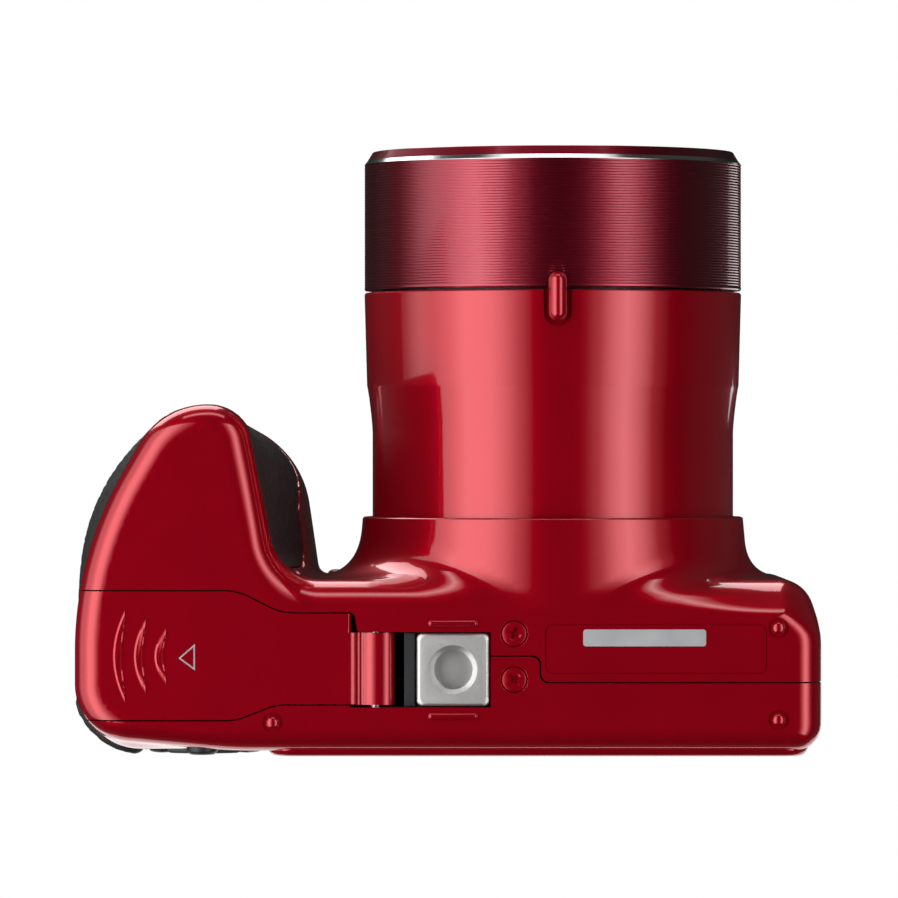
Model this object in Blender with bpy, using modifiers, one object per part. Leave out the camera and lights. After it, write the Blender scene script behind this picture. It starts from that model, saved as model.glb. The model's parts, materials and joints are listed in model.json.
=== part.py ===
"""A fixed-lens superzoom camera, built from its separate pieces.

Units are metres with +Z up. The lens looks along -Y, the grip is on the -X side,
and the camera stands on the small feet of its base at Z = 0.
"""
import math

import bmesh
import bpy
from mathutils import Matrix, Vector

MM = 0.001
FAR = 0.2

# Clearances
GAP = 0.3 * MM
SEAM_GAP = 0.3 * MM

# Lens barrel and front ring, which set how high the lens axis lies
BARREL_R = 25.8 * MM
RING_STEP = 1.15 * MM
RING_R = BARREL_R + RING_STEP
LENS_CLEARANCE = 2.05 * MM
LENS_X = 15.0 * MM
LENS_Z = RING_R + LENS_CLEARANCE

# Body
BODY_WIDTH = 104.2 * MM
HALF_WIDTH = BODY_WIDTH / 2
LEFT_X = -HALF_WIDTH
FOOT_HEIGHT = 0.5 * MM
DECK_OVER_LENS = 27.0 * MM
SEAM_DROP = 6.5 * MM
DECK_Z = LENS_Z + DECK_OVER_LENS
SEAM_Z = DECK_Z - SEAM_DROP
FRONT_Y = 17.7 * MM
REAR_Y = 41.6 * MM
WALL = 1.8 * MM
BASE_EDGE_R = 3.6 * MM
DECK_EDGE_R = 3.2 * MM
REAR_LEFT_R = 9.0 * MM
REAR_RIGHT_R = 4.0 * MM
FRONT_RIGHT_R = 5.5 * MM
ARC_STEPS = 5
ROUND_STEPS = 36

# Grip: plan corners at its foot and at its waist
GRIP_FRONT_Y = -6.7 * MM
GRIP_FOOT_Z = 4.5 * MM
GRIP_WAIST_Z = 20.0 * MM
GRIP_SLOPE_START_Y = 14.0 * MM
GRIP_SLOPE = math.radians(12.0)
FOOT_FLANK_Y = 19.0 * MM
FOOT_RADII = (10.0 * MM, 6.0 * MM, 5.0 * MM, 8.0 * MM)
WAIST_RADII = (12.0 * MM, 8.0 * MM, 12.5 * MM, 3.0 * MM)
FOOT_NOSE_LEFT_X_OFFSET = 13.4 * MM
FOOT_NOSE_LEFT_X = LEFT_X + FOOT_NOSE_LEFT_X_OFFSET
FOOT_NOSE_RIGHT_X_OFFSET = 23.9 * MM
FOOT_NOSE_RIGHT_X = LEFT_X + FOOT_NOSE_RIGHT_X_OFFSET
FOOT_ROOT_X_OFFSET = 27.7 * MM
FOOT_ROOT_X = LEFT_X + FOOT_ROOT_X_OFFSET
WAIST_FLANK_Y = 10.5 * MM
WAIST_NOSE_LEFT_X_OFFSET = 8.8 * MM
WAIST_NOSE_LEFT_X = LEFT_X + WAIST_NOSE_LEFT_X_OFFSET
WAIST_NOSE_RIGHT_X_OFFSET = 31.5 * MM
WAIST_NOSE_RIGHT_X = LEFT_X + WAIST_NOSE_RIGHT_X_OFFSET
WAIST_ROOT_X_OFFSET = 33.8 * MM
WAIST_ROOT_X = LEFT_X + WAIST_ROOT_X_OFFSET

# Grip rubber and thumb rest
RUBBER_T = 1.0 * MM
RUBBER_LOW_Z = 7.5 * MM
RUBBER_HIGH_Z_OFFSET = 6.5 * MM
RUBBER_HIGH_Z = SEAM_Z - RUBBER_HIGH_Z_OFFSET
RUBBER_LEFT_END_Y = 22.5 * MM
RUBBER_FINGER_END_Y = 14.0 * MM
RUBBER_CORNER_R = 5.0 * MM
THUMB_RISE = 1.3 * MM
THUMB_SINK = 0.7 * MM
THUMB_LOW_Z = 37.5 * MM
THUMB_HIGH_Z_OFFSET = 1.3 * MM
THUMB_HIGH_Z = SEAM_Z - THUMB_HIGH_Z_OFFSET
THUMB_EDGE_X_OFFSET = 16.6 * MM
THUMB_EDGE_X = LEFT_X + THUMB_EDGE_X_OFFSET
THUMB_FRONT_Y = 31.0 * MM

# Line between the front and the rear cover
PARTING_Y = 28.4 * MM
PARTING_STEP_Y = 32.3 * MM
PARTING_STEP_X = 13.0 * MM
PARTING_R = 2.0 * MM

# Lens along its axis: distances forward are measured from Y = 0 towards the subject
LENS_FRONT = 42.9 * MM
RING_LENGTH = 19.8 * MM
RING_CHAMFER = 1.2 * MM
RING_CHAMFER_LENGTH = 1.8 * MM
BARREL_SWELL = 0.75 * MM
BARREL_STRAIGHT_END = 2.8 * MM
BARREL_SWELL_END = 9.4 * MM
BARREL_WALL = 1.5 * MM
COLLAR_RIM_Y = 9.4 * MM
COLLAR_WALL = 1.2 * MM
COLLAR_FLARE_R = 6.3 * MM
TUBE_WALL = 1.1 * MM
CAM_RING_WALL = 1.2 * MM
MOVING_WALL = 1.2 * MM
LENS_REAR_Y = 32.0 * MM
LENS_PLATE_T = 2.0 * MM
ZOOM_TRAVEL = 22.0 * MM
INNER_TRAVEL = 20.0 * MM
FRONT_RECESS = 1.6 * MM
MOVING_LENGTH = 40.0 * MM
FRONT_LENS_T = 5.5 * MM
TRIM_WIDTH = 3.6 * MM
ROD_R = 0.8 * MM
ROD_SPREAD = 12.0 * MM
ROD_FRONT = 26.0 * MM
GROUP_R = 15.0 * MM
GROUP_T = 7.0 * MM
ZOOM_GROUP_FORWARD = -6.0 * MM
FOCUS_GROUP_FORWARD = -19.0 * MM
REST_WIDTH = 2.6 * MM
REST_LENGTH = 7.0 * MM
REST_CENTRE = 21.8 * MM
MOTOR_R = 3.5 * MM
MOTOR_LENGTH = 11.0 * MM
MOTOR_ANGLE = math.radians(145.0)

# Hump over the lens with the flash in it
HUMP_RISE = 13.0 * MM
HUMP_TOP_Z = DECK_Z + HUMP_RISE
HUMP_BASE_HALF_X = 24.0 * MM
HUMP_TOP_HALF_X = 15.0 * MM
HUMP_BASE_FRONT_Y = 8.0 * MM
HUMP_TOP_FRONT_Y = 12.5 * MM
HUMP_BASE_REAR_Y = 37.5 * MM
HUMP_TOP_REAR_Y = 28.5 * MM
HUMP_CORNER_R = 6.0 * MM
HUMP_EDGE_R = 2.5 * MM
FLASH_SPLIT_Z_OFFSET = 8.5 * MM
FLASH_SPLIT_Z = HUMP_TOP_Z - FLASH_SPLIT_Z_OFFSET
FLASH_KNUCKLE_R = 3.0 * MM
FLASH_HINGE_Y = 25.5 * MM
FLASH_PIN_R = 0.8 * MM
FLASH_LUG_SPREAD = 7.0 * MM
FLASH_LUG_T = 2.0 * MM
FLASH_EYE_R = 1.9 * MM
FLASH_BLOCK_HALF = 10.5 * MM
FLASH_BLOCK_DEPTH = 6.0 * MM
FLASH_BLOCK_CLEARANCE = 1.6 * MM
FLASH_WINDOW_MARGIN = 1.9 * MM
FLASH_MOUTH_EDGE = 0.8 * MM
FLASH_WINDOW_T = 1.0 * MM
FLASH_TUBE_R = 0.9 * MM

# Battery door and its hinge
DOOR_FRONT_Y = 19.3 * MM
DOOR_REAR_Y = 38.1 * MM
DOOR_NECK_FRONT_Y = 22.1 * MM
DOOR_NECK_REAR_Y = 35.9 * MM
DOOR_NECK_X = -24.6 * MM
DOOR_WIDE_X = -31.6 * MM
DOOR_END_X = -13.6 * MM
DOOR_SIDE_Z = 6.0 * MM
DOOR_CURVE_R = 8.0 * MM
DOOR_TRAVEL = 3.0 * MM
KNUCKLE_R = 2.5 * MM
KNUCKLE_X = -10.2 * MM
HINGE_PIN_R = 0.75 * MM
RIDGE_HEIGHT = 0.25 * MM

# Tripod plate, base bracket and base screws
PLATE_X = 0.7 * MM
PLATE_Y = 30.2 * MM
PLATE_SIZE = 10.1 * MM
PLATE_RISE = 0.1 * MM
PLATE_T = 2.2 * MM
SOCKET_R = 2.65 * MM
SOCKET_MOUTH_R = 3.3 * MM
SOCKET_BOSS_R = 4.2 * MM
SOCKET_DEPTH = 5.6 * MM
BRACKET_T = 1.6 * MM
SCREW_X = 9.2 * MM
SCREW_FRONT_Y = 25.2 * MM
SCREW_REAR_Y = 31.6 * MM
SCREW_HEAD_R = 1.75 * MM
SCREW_HEAD_T = 0.7 * MM
SCREW_R = 0.8 * MM
RIB_LENGTH = 6.6 * MM
RIB_WIDTH = 0.8 * MM
RIB_OFFSET = 6.4 * MM
FOOT_R = 0.8 * MM
FEET = ((-24.4 * MM, 37.6 * MM), (HALF_WIDTH - 6.1 * MM, 24.4 * MM), (HALF_WIDTH - 6.1 * MM, 37.2 * MM))

# Battery, card and their box
BATTERY_THICKNESS = 5.8 * MM
BATTERY_HEIGHT = 40.0 * MM
CARD_SIZE = (24.0 * MM, 2.1 * MM, 32.0 * MM)
BOX_WALL = 1.0 * MM
EAR_T = 1.6 * MM
BOX_SIDE_GAP = 1.7 * MM
BOX_CORNER_R = 2.5 * MM
BOX_REAR_Y = 36.6 * MM

# Rear controls and display
RAISE = 0.8 * MM
PAD_X_OFFSET = 17.7 * MM
PAD_X = LEFT_X + PAD_X_OFFSET
PAD_Z = 19.5 * MM
PANEL_LEFT_X_OFFSET = 9.5 * MM
PANEL_LEFT_X = PAD_X + PANEL_LEFT_X_OFFSET
PANEL_RIGHT_X_OFFSET = 2.7 * MM
PANEL_RIGHT_X = HALF_WIDTH - PANEL_RIGHT_X_OFFSET
PANEL_LOW_Z = 3.6 * MM
PANEL_HIGH_Z_OFFSET = 1.1 * MM
PANEL_HIGH_Z = SEAM_Z - PANEL_HIGH_Z_OFFSET
PANEL_SLOPE = 1.0 * MM
PANEL_CORNER_R = 2.5 * MM
WINDOW_MARGIN = 2.4 * MM
WINDOW_T = 1.1 * MM
SCREEN_MARGIN = 3.6 * MM
SCREEN_T = 2.6 * MM
PAD_R = 8.0 * MM
PAD_KEY_R = 4.7 * MM
PAD_KEY_HALF_ANGLE = math.radians(40.0)
SET_R = 3.5 * MM
BUTTON_RISE = 0.8 * MM
BUTTON_TRAVEL = 0.4 * MM
BUTTON_FLANGE = 0.7 * MM
BUTTON_FLANGE_T = 0.7 * MM
REAR_BUTTONS = {
    "movie_button": (PAD_X + 4.4 * MM, SEAM_Z - 6.7 * MM, 2.6 * MM),
    "playback_button": (PAD_X + 4.6 * MM, PAD_Z + 13.5 * MM, 2.2 * MM),
    "wireless_button": (PAD_X - 4.8 * MM, PAD_Z + 13.5 * MM, 2.2 * MM),
    "menu_button": (PAD_X, PAD_Z - 12.6 * MM, 2.2 * MM),
}

# Top controls
POWER_X_OFFSET = 21.1 * MM
POWER_X = LEFT_X + POWER_X_OFFSET
POWER_Y = 26.5 * MM
POWER_R = 3.4 * MM
SHUTTER_X_OFFSET = 17.6 * MM
SHUTTER_X = LEFT_X + SHUTTER_X_OFFSET
SHUTTER_Y = 3.0 * MM
SHUTTER_R = 4.8 * MM
SHUTTER_STEM_R = 2.6 * MM
SHUTTER_RISE = 4.2 * MM
LEVER_WALL = 2.8 * MM
LEVER_HEIGHT = 3.2 * MM
LEVER_FLOOR = 0.9 * MM
LEVER_SLEEVE = 1.1 * MM
LEVER_TAB = 2.2 * MM
STEM_LENGTH = 3.6 * MM

# Side fittings
LUG_Y = 25.9 * MM
LUG_Z_OFFSET = 5.5 * MM
LUG_Z = SEAM_Z - LUG_Z_OFFSET
LUG_SPAN = 5.0 * MM
LUG_REACH = 1.9 * MM
LUG_WIRE_R = 0.65 * MM
FLAP_FRONT_Y = 23.7 * MM
FLAP_REAR_Y = 31.3 * MM
FLAP_LOW_Z = 15.0 * MM
FLAP_HIGH_Z = 33.0 * MM
FLAP_T = 1.7 * MM
FLAP_PIN_R = 0.4 * MM
FLAP_PIN_HOLD = 1.6 * MM
POCKET_WALL = 1.0 * MM
PORT_SIZE = (5.0 * MM, 3.6 * MM, 7.6 * MM)
PORT_WALL = 0.4 * MM

# Small pieces inside
LAMP_X = -16.3 * MM
LAMP_Z_OFFSET = 3.9 * MM
LAMP_Z = SEAM_Z - LAMP_Z_OFFSET
LAMP_R = 1.3 * MM
SENSOR_SIZE = (12.0 * MM, 2.8 * MM, 10.0 * MM)
BOARD_T = 1.2 * MM
BOARD_LEFT_X = -12.0 * MM
CAPACITOR_R = 4.0 * MM
CAPACITOR_LENGTH = 26.0 * MM
SPEAKER_X_OFFSET = 7.6 * MM
SPEAKER_X = HALF_WIDTH - SPEAKER_X_OFFSET
SPEAKER_Y = 27.5 * MM
SPEAKER_R = 4.6 * MM
SPEAKER_T = 2.6 * MM
SPEAKER_HOLE_R = 0.5 * MM
SPEAKER_HOLE_SPREAD = 1.9 * MM

# Values worked out from the sizes above
FLOOR_Z = FOOT_HEIGHT + WALL
BARREL_FRONT = LENS_FRONT - RING_LENGTH - GAP
TUBE_R = BARREL_R - BARREL_WALL - GAP
CAM_RING_R = TUBE_R - TUBE_WALL - GAP
OUTER_MOVING_R = CAM_RING_R - CAM_RING_WALL - GAP
INNER_MOVING_R = OUTER_MOVING_R - MOVING_WALL - GAP
FRONT_LENS_R = INNER_MOVING_R - MOVING_WALL - TRIM_WIDTH
BORE_R = BARREL_R + GAP
COLLAR_R = BORE_R + COLLAR_WALL
COLLAR_KEEP_R = COLLAR_R + GAP
FLASH_HINGE_Z = HUMP_TOP_Z - FLASH_KNUCKLE_R
FLASH_BLOCK_LOW_Z = LENS_Z + COLLAR_KEEP_R + FLASH_BLOCK_CLEARANCE
KNUCKLE_Z = FLOOR_Z + HINGE_PIN_R + GAP
KNUCKLE_HALF = PLATE_SIZE / 2 - GAP / 2
BRACKET_LOW_Z = FLOOR_Z + GAP
BRACKET_HIGH_Z = BRACKET_LOW_Z + BRACKET_T
PANEL_Y = REAR_Y + RAISE
SENSOR_FRONT_Y = LENS_REAR_Y + GAP
BOARD_FRONT_Y = SENSOR_FRONT_Y + SENSOR_SIZE[1] + GAP
GRIP_NORMAL = Vector((0.0, -math.sin(GRIP_SLOPE), math.cos(GRIP_SLOPE)))
LEVER_R = SHUTTER_R + GAP + LEVER_WALL
SLEEVE_IN_R = SHUTTER_STEM_R + GAP
SLEEVE_OUT_R = SLEEVE_IN_R + LEVER_SLEEVE

for leftover in list(bpy.data.objects):
    bpy.data.objects.remove(leftover)
PARTS = bpy.data.collections.new("superzoom_camera")
CUTTERS = bpy.data.collections.new("cutters")
bpy.context.scene.collection.children.link(PARTS)
bpy.context.scene.collection.children.link(CUTTERS)


def material(name, colour, roughness, metallic=0.0):
    """A plain Principled material."""
    made = bpy.data.materials.new(name)
    made.use_nodes = True
    shader = made.node_tree.nodes["Principled BSDF"]
    shader.inputs["Base Color"].default_value = (*colour, 1.0)
    shader.inputs["Roughness"].default_value = roughness
    shader.inputs["Metallic"].default_value = metallic
    return made


RED = material("red_lacquer", (0.30, 0.002, 0.008), 0.28)
DARK_RED = material("dark_red_anodised", (0.16, 0.002, 0.006), 0.32, 0.9)
RUBBER = material("black_rubber", (0.012, 0.012, 0.013), 0.75)
BLACK = material("black_plastic", (0.015, 0.015, 0.017), 0.5)
STEEL = material("steel", (0.62, 0.62, 0.63), 0.3, 1.0)
NICKEL = material("blasted_nickel", (0.66, 0.65, 0.64), 0.42, 1.0)
GLASS = material("lens_glass", (0.08, 0.08, 0.12), 0.05)
SCREEN = material("screen", (0.01, 0.01, 0.012), 0.1)
GREEN = material("circuit_board", (0.02, 0.12, 0.05), 0.5)
GREY = material("grey_plastic", (0.22, 0.22, 0.23), 0.45)
WINDOW = material("clear_window", (0.75, 0.75, 0.72), 0.1)
ORANGE = material("lamp_window", (0.65, 0.25, 0.05), 0.2)


def to_object(name, bm, where):
    """Turn a bmesh into an object with its faces looking outwards."""
    bmesh.ops.recalc_face_normals(bm, faces=bm.faces)
    mesh = bpy.data.meshes.new(name)
    bm.to_mesh(mesh)
    bm.free()
    made = bpy.data.objects.new(name, mesh)
    where.objects.link(made)
    if where is CUTTERS:
        made.hide_render = True
        made.display_type = "WIRE"
    return made


def finish(part, look):
    """Give a part its material."""
    part.data.materials.clear()
    part.data.materials.append(look)
    return part


def boolean(target, tool, operation):
    """Combine an object with a tool."""
    step = target.modifiers.new(operation.title(), "BOOLEAN")
    step.operation = operation
    step.solver = "EXACT"
    step.object = tool
    return target


def cut(target, *tools):
    for tool in tools:
        boolean(target, tool, "DIFFERENCE")
    return target


def unite(target, *tools):
    for tool in tools:
        boolean(target, tool, "UNION")
    return target


def keep(target, tool):
    return boolean(target, tool, "INTERSECT")


def set_origin(part, point):
    """Move an object's origin without moving its shape."""
    shift = Vector(point)
    part.data.transform(Matrix.Translation(-shift))
    part.location = shift
    return part


def smooth(share):
    share = min(max(share, 0.0), 1.0)
    return share * share * (3.0 - 2.0 * share)


def turn_at(corners, index):
    """Directions into and out of a corner, and the signed angle turned there."""
    here = Vector(corners[index][:2])
    into = (here - Vector(corners[index - 1][:2])).normalized()
    out = (Vector(corners[(index + 1) % len(corners)][:2]) - here).normalized()
    turn = math.atan2(into.x * out.y - into.y * out.x, into.dot(out))
    return here, into, out, turn


def offset(corners, inset):
    """Corners (x, y, radius), counter-clockwise, with every edge moved inwards."""
    moved = []
    for index, corner in enumerate(corners):
        here, into, out, turn = turn_at(corners, index)
        normal_in = Vector((-into.y, into.x))
        normal_out = Vector((-out.y, out.x))
        point = here + (normal_in + normal_out) * inset / (1.0 + normal_in.dot(normal_out))
        radius = corner[2]
        if radius > 0.0:
            radius = max(radius - math.copysign(inset, turn), 0.15 * MM)
        moved.append((point.x, point.y, radius))
    return moved


def outline(corners, steps=ARC_STEPS):
    """Points of a closed outline of straight runs and corner arcs."""
    points = []
    for index, corner in enumerate(corners):
        here, into, out, turn = turn_at(corners, index)
        radius = corner[2]
        if radius == 0.0:
            points.append(here)
            continue
        start = here - into * radius * math.tan(abs(turn) / 2)
        side = math.copysign(1.0, turn)
        centre = start + Vector((-into.y, into.x)) * side * radius
        arm = start - centre
        for step in range(steps + 1):
            angle = turn * step / steps
            turned_arm = Vector((arm.x * math.cos(angle) - arm.y * math.sin(angle),
                                 arm.x * math.sin(angle) + arm.y * math.cos(angle)))
            points.append(centre + turned_arm)
    return points


def rectangle(low, high, radius=0.0):
    """Corners of a rectangle between two plan points."""
    return [(low[0], low[1], radius), (high[0], low[1], radius),
            (high[0], high[1], radius), (low[0], high[1], radius)]


def place(axis, point, height):
    """A plan point raised along one world axis."""
    if axis == "X":
        return (height, point[0], point[1])
    if axis == "Y":
        return (point[0], height, point[1])
    return (point[0], point[1], height)


def loft(name, rings, where=CUTTERS):
    """A closed solid through rings of equal point counts."""
    bm = bmesh.new()
    loops = [[bm.verts.new(point) for point in ring] for ring in rings]
    for low, high in zip(loops, loops[1:]):
        for index in range(len(low)):
            following = (index + 1) % len(low)
            bm.faces.new((low[index], low[following], high[following], high[index]))
    bm.faces.new(list(reversed(loops[0])))
    bm.faces.new(loops[-1])
    return to_object(name, bm, where)


def prism(name, points, axis, low, high, where=CUTTERS):
    """An outline extruded along a world axis."""
    return loft(name, [[place(axis, p, low) for p in points], [place(axis, p, high) for p in points]], where)


def stepped(name, sections, axis, where=CUTTERS):
    """A prism whose outline changes in steps along an axis."""
    return loft(name, [[place(axis, p, height) for p in points] for points, height in sections], where)


def box(name, low, high, where=CUTTERS, bevel=0.0):
    """A cube between two corners, with an optional bevel."""
    bm = bmesh.new()
    size = Vector(high) - Vector(low)
    centre = (Vector(high) + Vector(low)) / 2
    bmesh.ops.create_cube(bm, size=1.0, matrix=Matrix.Translation(centre) @ Matrix.Diagonal((*size, 1.0)))
    made = to_object(name, bm, where)
    if bevel:
        edge = made.modifiers.new("Bevel", "BEVEL")
        edge.width = bevel
        edge.segments = 2
    return made


def rod(name, radius, start, end, where=CUTTERS, segments=20):
    """A cylinder between two points."""
    line = Vector(end) - Vector(start)
    pose = Matrix.Translation((Vector(start) + Vector(end)) / 2) @ line.to_track_quat("Z", "Y").to_matrix().to_4x4()
    bm = bmesh.new()
    bmesh.ops.create_cone(bm, cap_ends=True, segments=segments, radius1=radius, radius2=radius,
                          depth=line.length, matrix=pose)
    return to_object(name, bm, where)


def turned(name, profile, where, location, rotation=(0.0, 0.0, 0.0), steps=32):
    """A turned piece: (radius, height) points run down the outside and close on themselves or the axis."""
    bm = bmesh.new()
    points = [bm.verts.new((radius, 0.0, height)) for radius, height in profile]
    for first, second in zip(points, points[1:]):
        bm.edges.new((first, second))
    if profile[0][0] > 0.0:
        bm.edges.new((points[-1], points[0]))
    mesh = bpy.data.meshes.new(name)
    bm.to_mesh(mesh)
    bm.free()
    made = bpy.data.objects.new(name, mesh)
    where.objects.link(made)
    if where is CUTTERS:
        made.hide_render = True
        made.display_type = "WIRE"
    spin = made.modifiers.new("Screw", "SCREW")
    spin.axis = "Z"
    spin.steps = steps
    spin.render_steps = steps
    spin.use_merge_vertices = True
    spin.merge_threshold = 0.001 * MM
    made.location = location
    made.rotation_euler = rotation
    return made


FORWARD = (math.radians(90.0), 0.0, 0.0)
BACKWARD = (math.radians(-90.0), 0.0, 0.0)


def lens_turned(name, profile, where=PARTS, steps=ROUND_STEPS):
    """A piece turned about the lens axis, heights counted forward from Y = 0."""
    return turned(name, profile, where, (LENS_X, 0.0, LENS_Z), FORWARD, steps)


def plan_corners(height):
    """Plan corners of the body, from the slim foot of the grip to its full waist."""
    share = smooth((height - GRIP_FOOT_Z) / (GRIP_WAIST_Z - GRIP_FOOT_Z))
    foot = ((LEFT_X, FOOT_FLANK_Y, FOOT_RADII[0]), (FOOT_NOSE_LEFT_X, GRIP_FRONT_Y, FOOT_RADII[1]),
            (FOOT_NOSE_RIGHT_X, GRIP_FRONT_Y, FOOT_RADII[2]), (FOOT_ROOT_X, FRONT_Y, FOOT_RADII[3]))
    waist = ((LEFT_X, WAIST_FLANK_Y, WAIST_RADII[0]), (WAIST_NOSE_LEFT_X, GRIP_FRONT_Y, WAIST_RADII[1]),
             (WAIST_NOSE_RIGHT_X, GRIP_FRONT_Y, WAIST_RADII[2]), (WAIST_ROOT_X, FRONT_Y, WAIST_RADII[3]))
    grip = [tuple(a + (b - a) * share for a, b in zip(*pair)) for pair in zip(foot, waist)]
    return [(HALF_WIDTH, REAR_Y, REAR_RIGHT_R), (-HALF_WIDTH, REAR_Y, REAR_LEFT_R), *grip,
            (HALF_WIDTH, FRONT_Y, FRONT_RIGHT_R)]


def edge_levels(low, high, low_radius, high_radius, between, steps=3):
    """Heights and insets of a block with a rounded bottom and top edge."""
    levels = []
    for step in range(steps + 1):
        angle = math.pi / 2 * step / steps
        levels.append((low + low_radius * (1 - math.cos(angle)), low_radius * (1 - math.sin(angle))))
    levels += [(height, 0.0) for height in between]
    for step in range(steps + 1):
        angle = math.pi / 2 * (1 - step / steps)
        levels.append((high - high_radius * (1 - math.cos(angle)), high_radius * (1 - math.sin(angle))))
    return levels


def body_loft(name, inset, where=CUTTERS):
    """The body with its grip, or the same shape inset for a wall."""
    low_radius = max(BASE_EDGE_R - inset, 0.4 * MM)
    high_radius = max(DECK_EDGE_R - inset, 0.4 * MM)
    shares, steps, arc = ((0.25, 0.5, 0.75, 1.0), 3, ARC_STEPS) if inset <= 0.0 else ((0.33, 0.67, 1.0), 2, 4)
    between = [GRIP_FOOT_Z + (GRIP_WAIST_Z - GRIP_FOOT_Z) * share for share in shares]
    levels = edge_levels(FOOT_HEIGHT + inset, DECK_Z - inset, low_radius, high_radius, between, steps)
    rings = []
    for height, edge in levels:
        points = outline(offset(plan_corners(height), inset + edge), arc)
        rings.append([(p.x, p.y, height) for p in points])
    return loft(name, rings, where)


def grip_slope(inset):
    """Everything above the sloping top of the grip."""
    foot = Vector((0.0, GRIP_SLOPE_START_Y, DECK_Z)) - GRIP_NORMAL * inset
    along = Vector((0.0, -math.cos(GRIP_SLOPE), -math.sin(GRIP_SLOPE)))
    corner = foot + along * FAR
    points = [(foot.y, foot.z), (foot.y, foot.z + FAR), (corner.y, foot.z + FAR), (corner.y, corner.z)]
    return prism("grip_slope", points, "X", -FAR, WAIST_ROOT_X + 2 * WALL)


def collar():
    """The round collar of the front cover, flaring into its front face but not below the base."""
    centre_y = FRONT_Y - COLLAR_FLARE_R
    levels = [(COLLAR_RIM_Y, -0.5 * MM, 0.0), (COLLAR_RIM_Y + 0.5 * MM, 0.0, 0.0), (centre_y, 0.0, 0.0)]
    for step in range(1, 6):
        angle = math.pi / 2 * step / 5
        reach = COLLAR_FLARE_R * (1 - math.cos(angle))
        levels.append((centre_y + COLLAR_FLARE_R * math.sin(angle), 0.0, reach))
    levels.append((FRONT_Y + WALL / 2, 0.0, COLLAR_FLARE_R))
    rings = []
    for y, grow, flare in levels:
        ring = []
        for step in range(ROUND_STEPS):
            angle = 2 * math.pi * step / ROUND_STEPS
            from_below = abs(math.remainder(angle + math.pi / 2, 2 * math.pi))
            radius = COLLAR_R + grow + flare * smooth((from_below - 0.12) / 0.75)
            ring.append((LENS_X + radius * math.cos(angle), y, LENS_Z + radius * math.sin(angle)))
        rings.append(ring)
    return loft("collar", rings)


def hump_loft(name, inset, where=CUTTERS):
    """The hump over the lens, tapering to its top, or the same shape inset for a wall."""
    rings = []
    low = SEAM_Z - 1.0 * MM if inset else SEAM_Z
    for height, edge in edge_levels(low, HUMP_TOP_Z - inset, 0.0, max(HUMP_EDGE_R - inset, 0.3 * MM), [], 2)[2:]:
        share = (height - SEAM_Z) / (HUMP_TOP_Z - SEAM_Z)
        half = HUMP_BASE_HALF_X + (HUMP_TOP_HALF_X - HUMP_BASE_HALF_X) * share
        front = HUMP_BASE_FRONT_Y + (HUMP_TOP_FRONT_Y - HUMP_BASE_FRONT_Y) * share
        rear = HUMP_BASE_REAR_Y + (HUMP_TOP_REAR_Y - HUMP_BASE_REAR_Y) * share
        corners = rectangle((LENS_X - half, front), (LENS_X + half, rear), HUMP_CORNER_R)
        points = outline(offset(corners, inset + edge))
        rings.append([(p.x, p.y, height) for p in points])
    return loft(name, rings, where)


def flash_lugs():
    """The two fixed lugs that carry the flash hinge pin, standing on the rear wall of the hump."""
    lugs = []
    for side in (-1, 1):
        x = LENS_X + side * FLASH_LUG_SPREAD
        low_x = x - FLASH_LUG_T / 2
        high_x = x + FLASH_LUG_T / 2
        eye = rod("flash_lug", FLASH_EYE_R, (low_x, FLASH_HINGE_Y, FLASH_HINGE_Z), (high_x, FLASH_HINGE_Y, FLASH_HINGE_Z),
                  segments=16)
        stem = box("lug_stem", (low_x, FLASH_HINGE_Y - FLASH_EYE_R / 2, FLASH_SPLIT_Z - 2 * WALL),
                   (high_x, FLASH_HINGE_Y + FLASH_EYE_R / 2, FLASH_HINGE_Z))
        share = (FLASH_SPLIT_Z - SEAM_Z) / (HUMP_TOP_Z - SEAM_Z)
        rear = HUMP_BASE_REAR_Y + (HUMP_TOP_REAR_Y - HUMP_BASE_REAR_Y) * share - WALL / 2
        arm = box("lug_arm", (low_x, FLASH_HINGE_Y, FLASH_SPLIT_Z - WALL - GAP), (high_x, rear, FLASH_SPLIT_Z - GAP))
        lugs.append(unite(eye, stem, arm))
    return lugs


def lug_slots():
    """Slots in the flash head that the lugs stand in while it swings."""
    slots = []
    for side in (-1, 1):
        x = LENS_X + side * FLASH_LUG_SPREAD
        low_x = x - FLASH_LUG_T / 2 - GAP
        high_x = x + FLASH_LUG_T / 2 + GAP
        slots.append(rod("eye_slot", FLASH_EYE_R + GAP, (low_x, FLASH_HINGE_Y, FLASH_HINGE_Z),
                         (high_x, FLASH_HINGE_Y, FLASH_HINGE_Z), segments=16))
        slots.append(box("stem_slot", (low_x, FLASH_HINGE_Y - FLASH_EYE_R / 2 - GAP, -FAR), (high_x, FAR, FLASH_HINGE_Z)))
    return slots


def flash_region(name, grow):
    """The space of the flash head: the hump above the split and the round of its hinge."""
    head = box(name, (-FAR, -FAR, FLASH_SPLIT_Z - grow), (FAR, FLASH_HINGE_Y, FAR))
    round_end = rod(name + "_round", FLASH_KNUCKLE_R + grow, (-FAR, FLASH_HINGE_Y, FLASH_HINGE_Z),
                    (FAR, FLASH_HINGE_Y, FLASH_HINGE_Z), segments=32)
    return unite(head, round_end)


def rear_region(name, inset):
    """Plan region of the rear cover, its front edge on the parting line."""
    half = (PARTING_STEP_Y - PARTING_Y) / 3
    corners = [(-FAR, PARTING_Y, 0.0), (PARTING_STEP_X - half, PARTING_Y, PARTING_R),
               (PARTING_STEP_X + half, PARTING_STEP_Y, PARTING_R), (FAR, PARTING_STEP_Y, 0.0),
               (FAR, FAR, 0.0), (-FAR, FAR, 0.0)]
    return prism(name, outline(offset(corners, inset)), "Z", -FAR, FAR)


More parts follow.
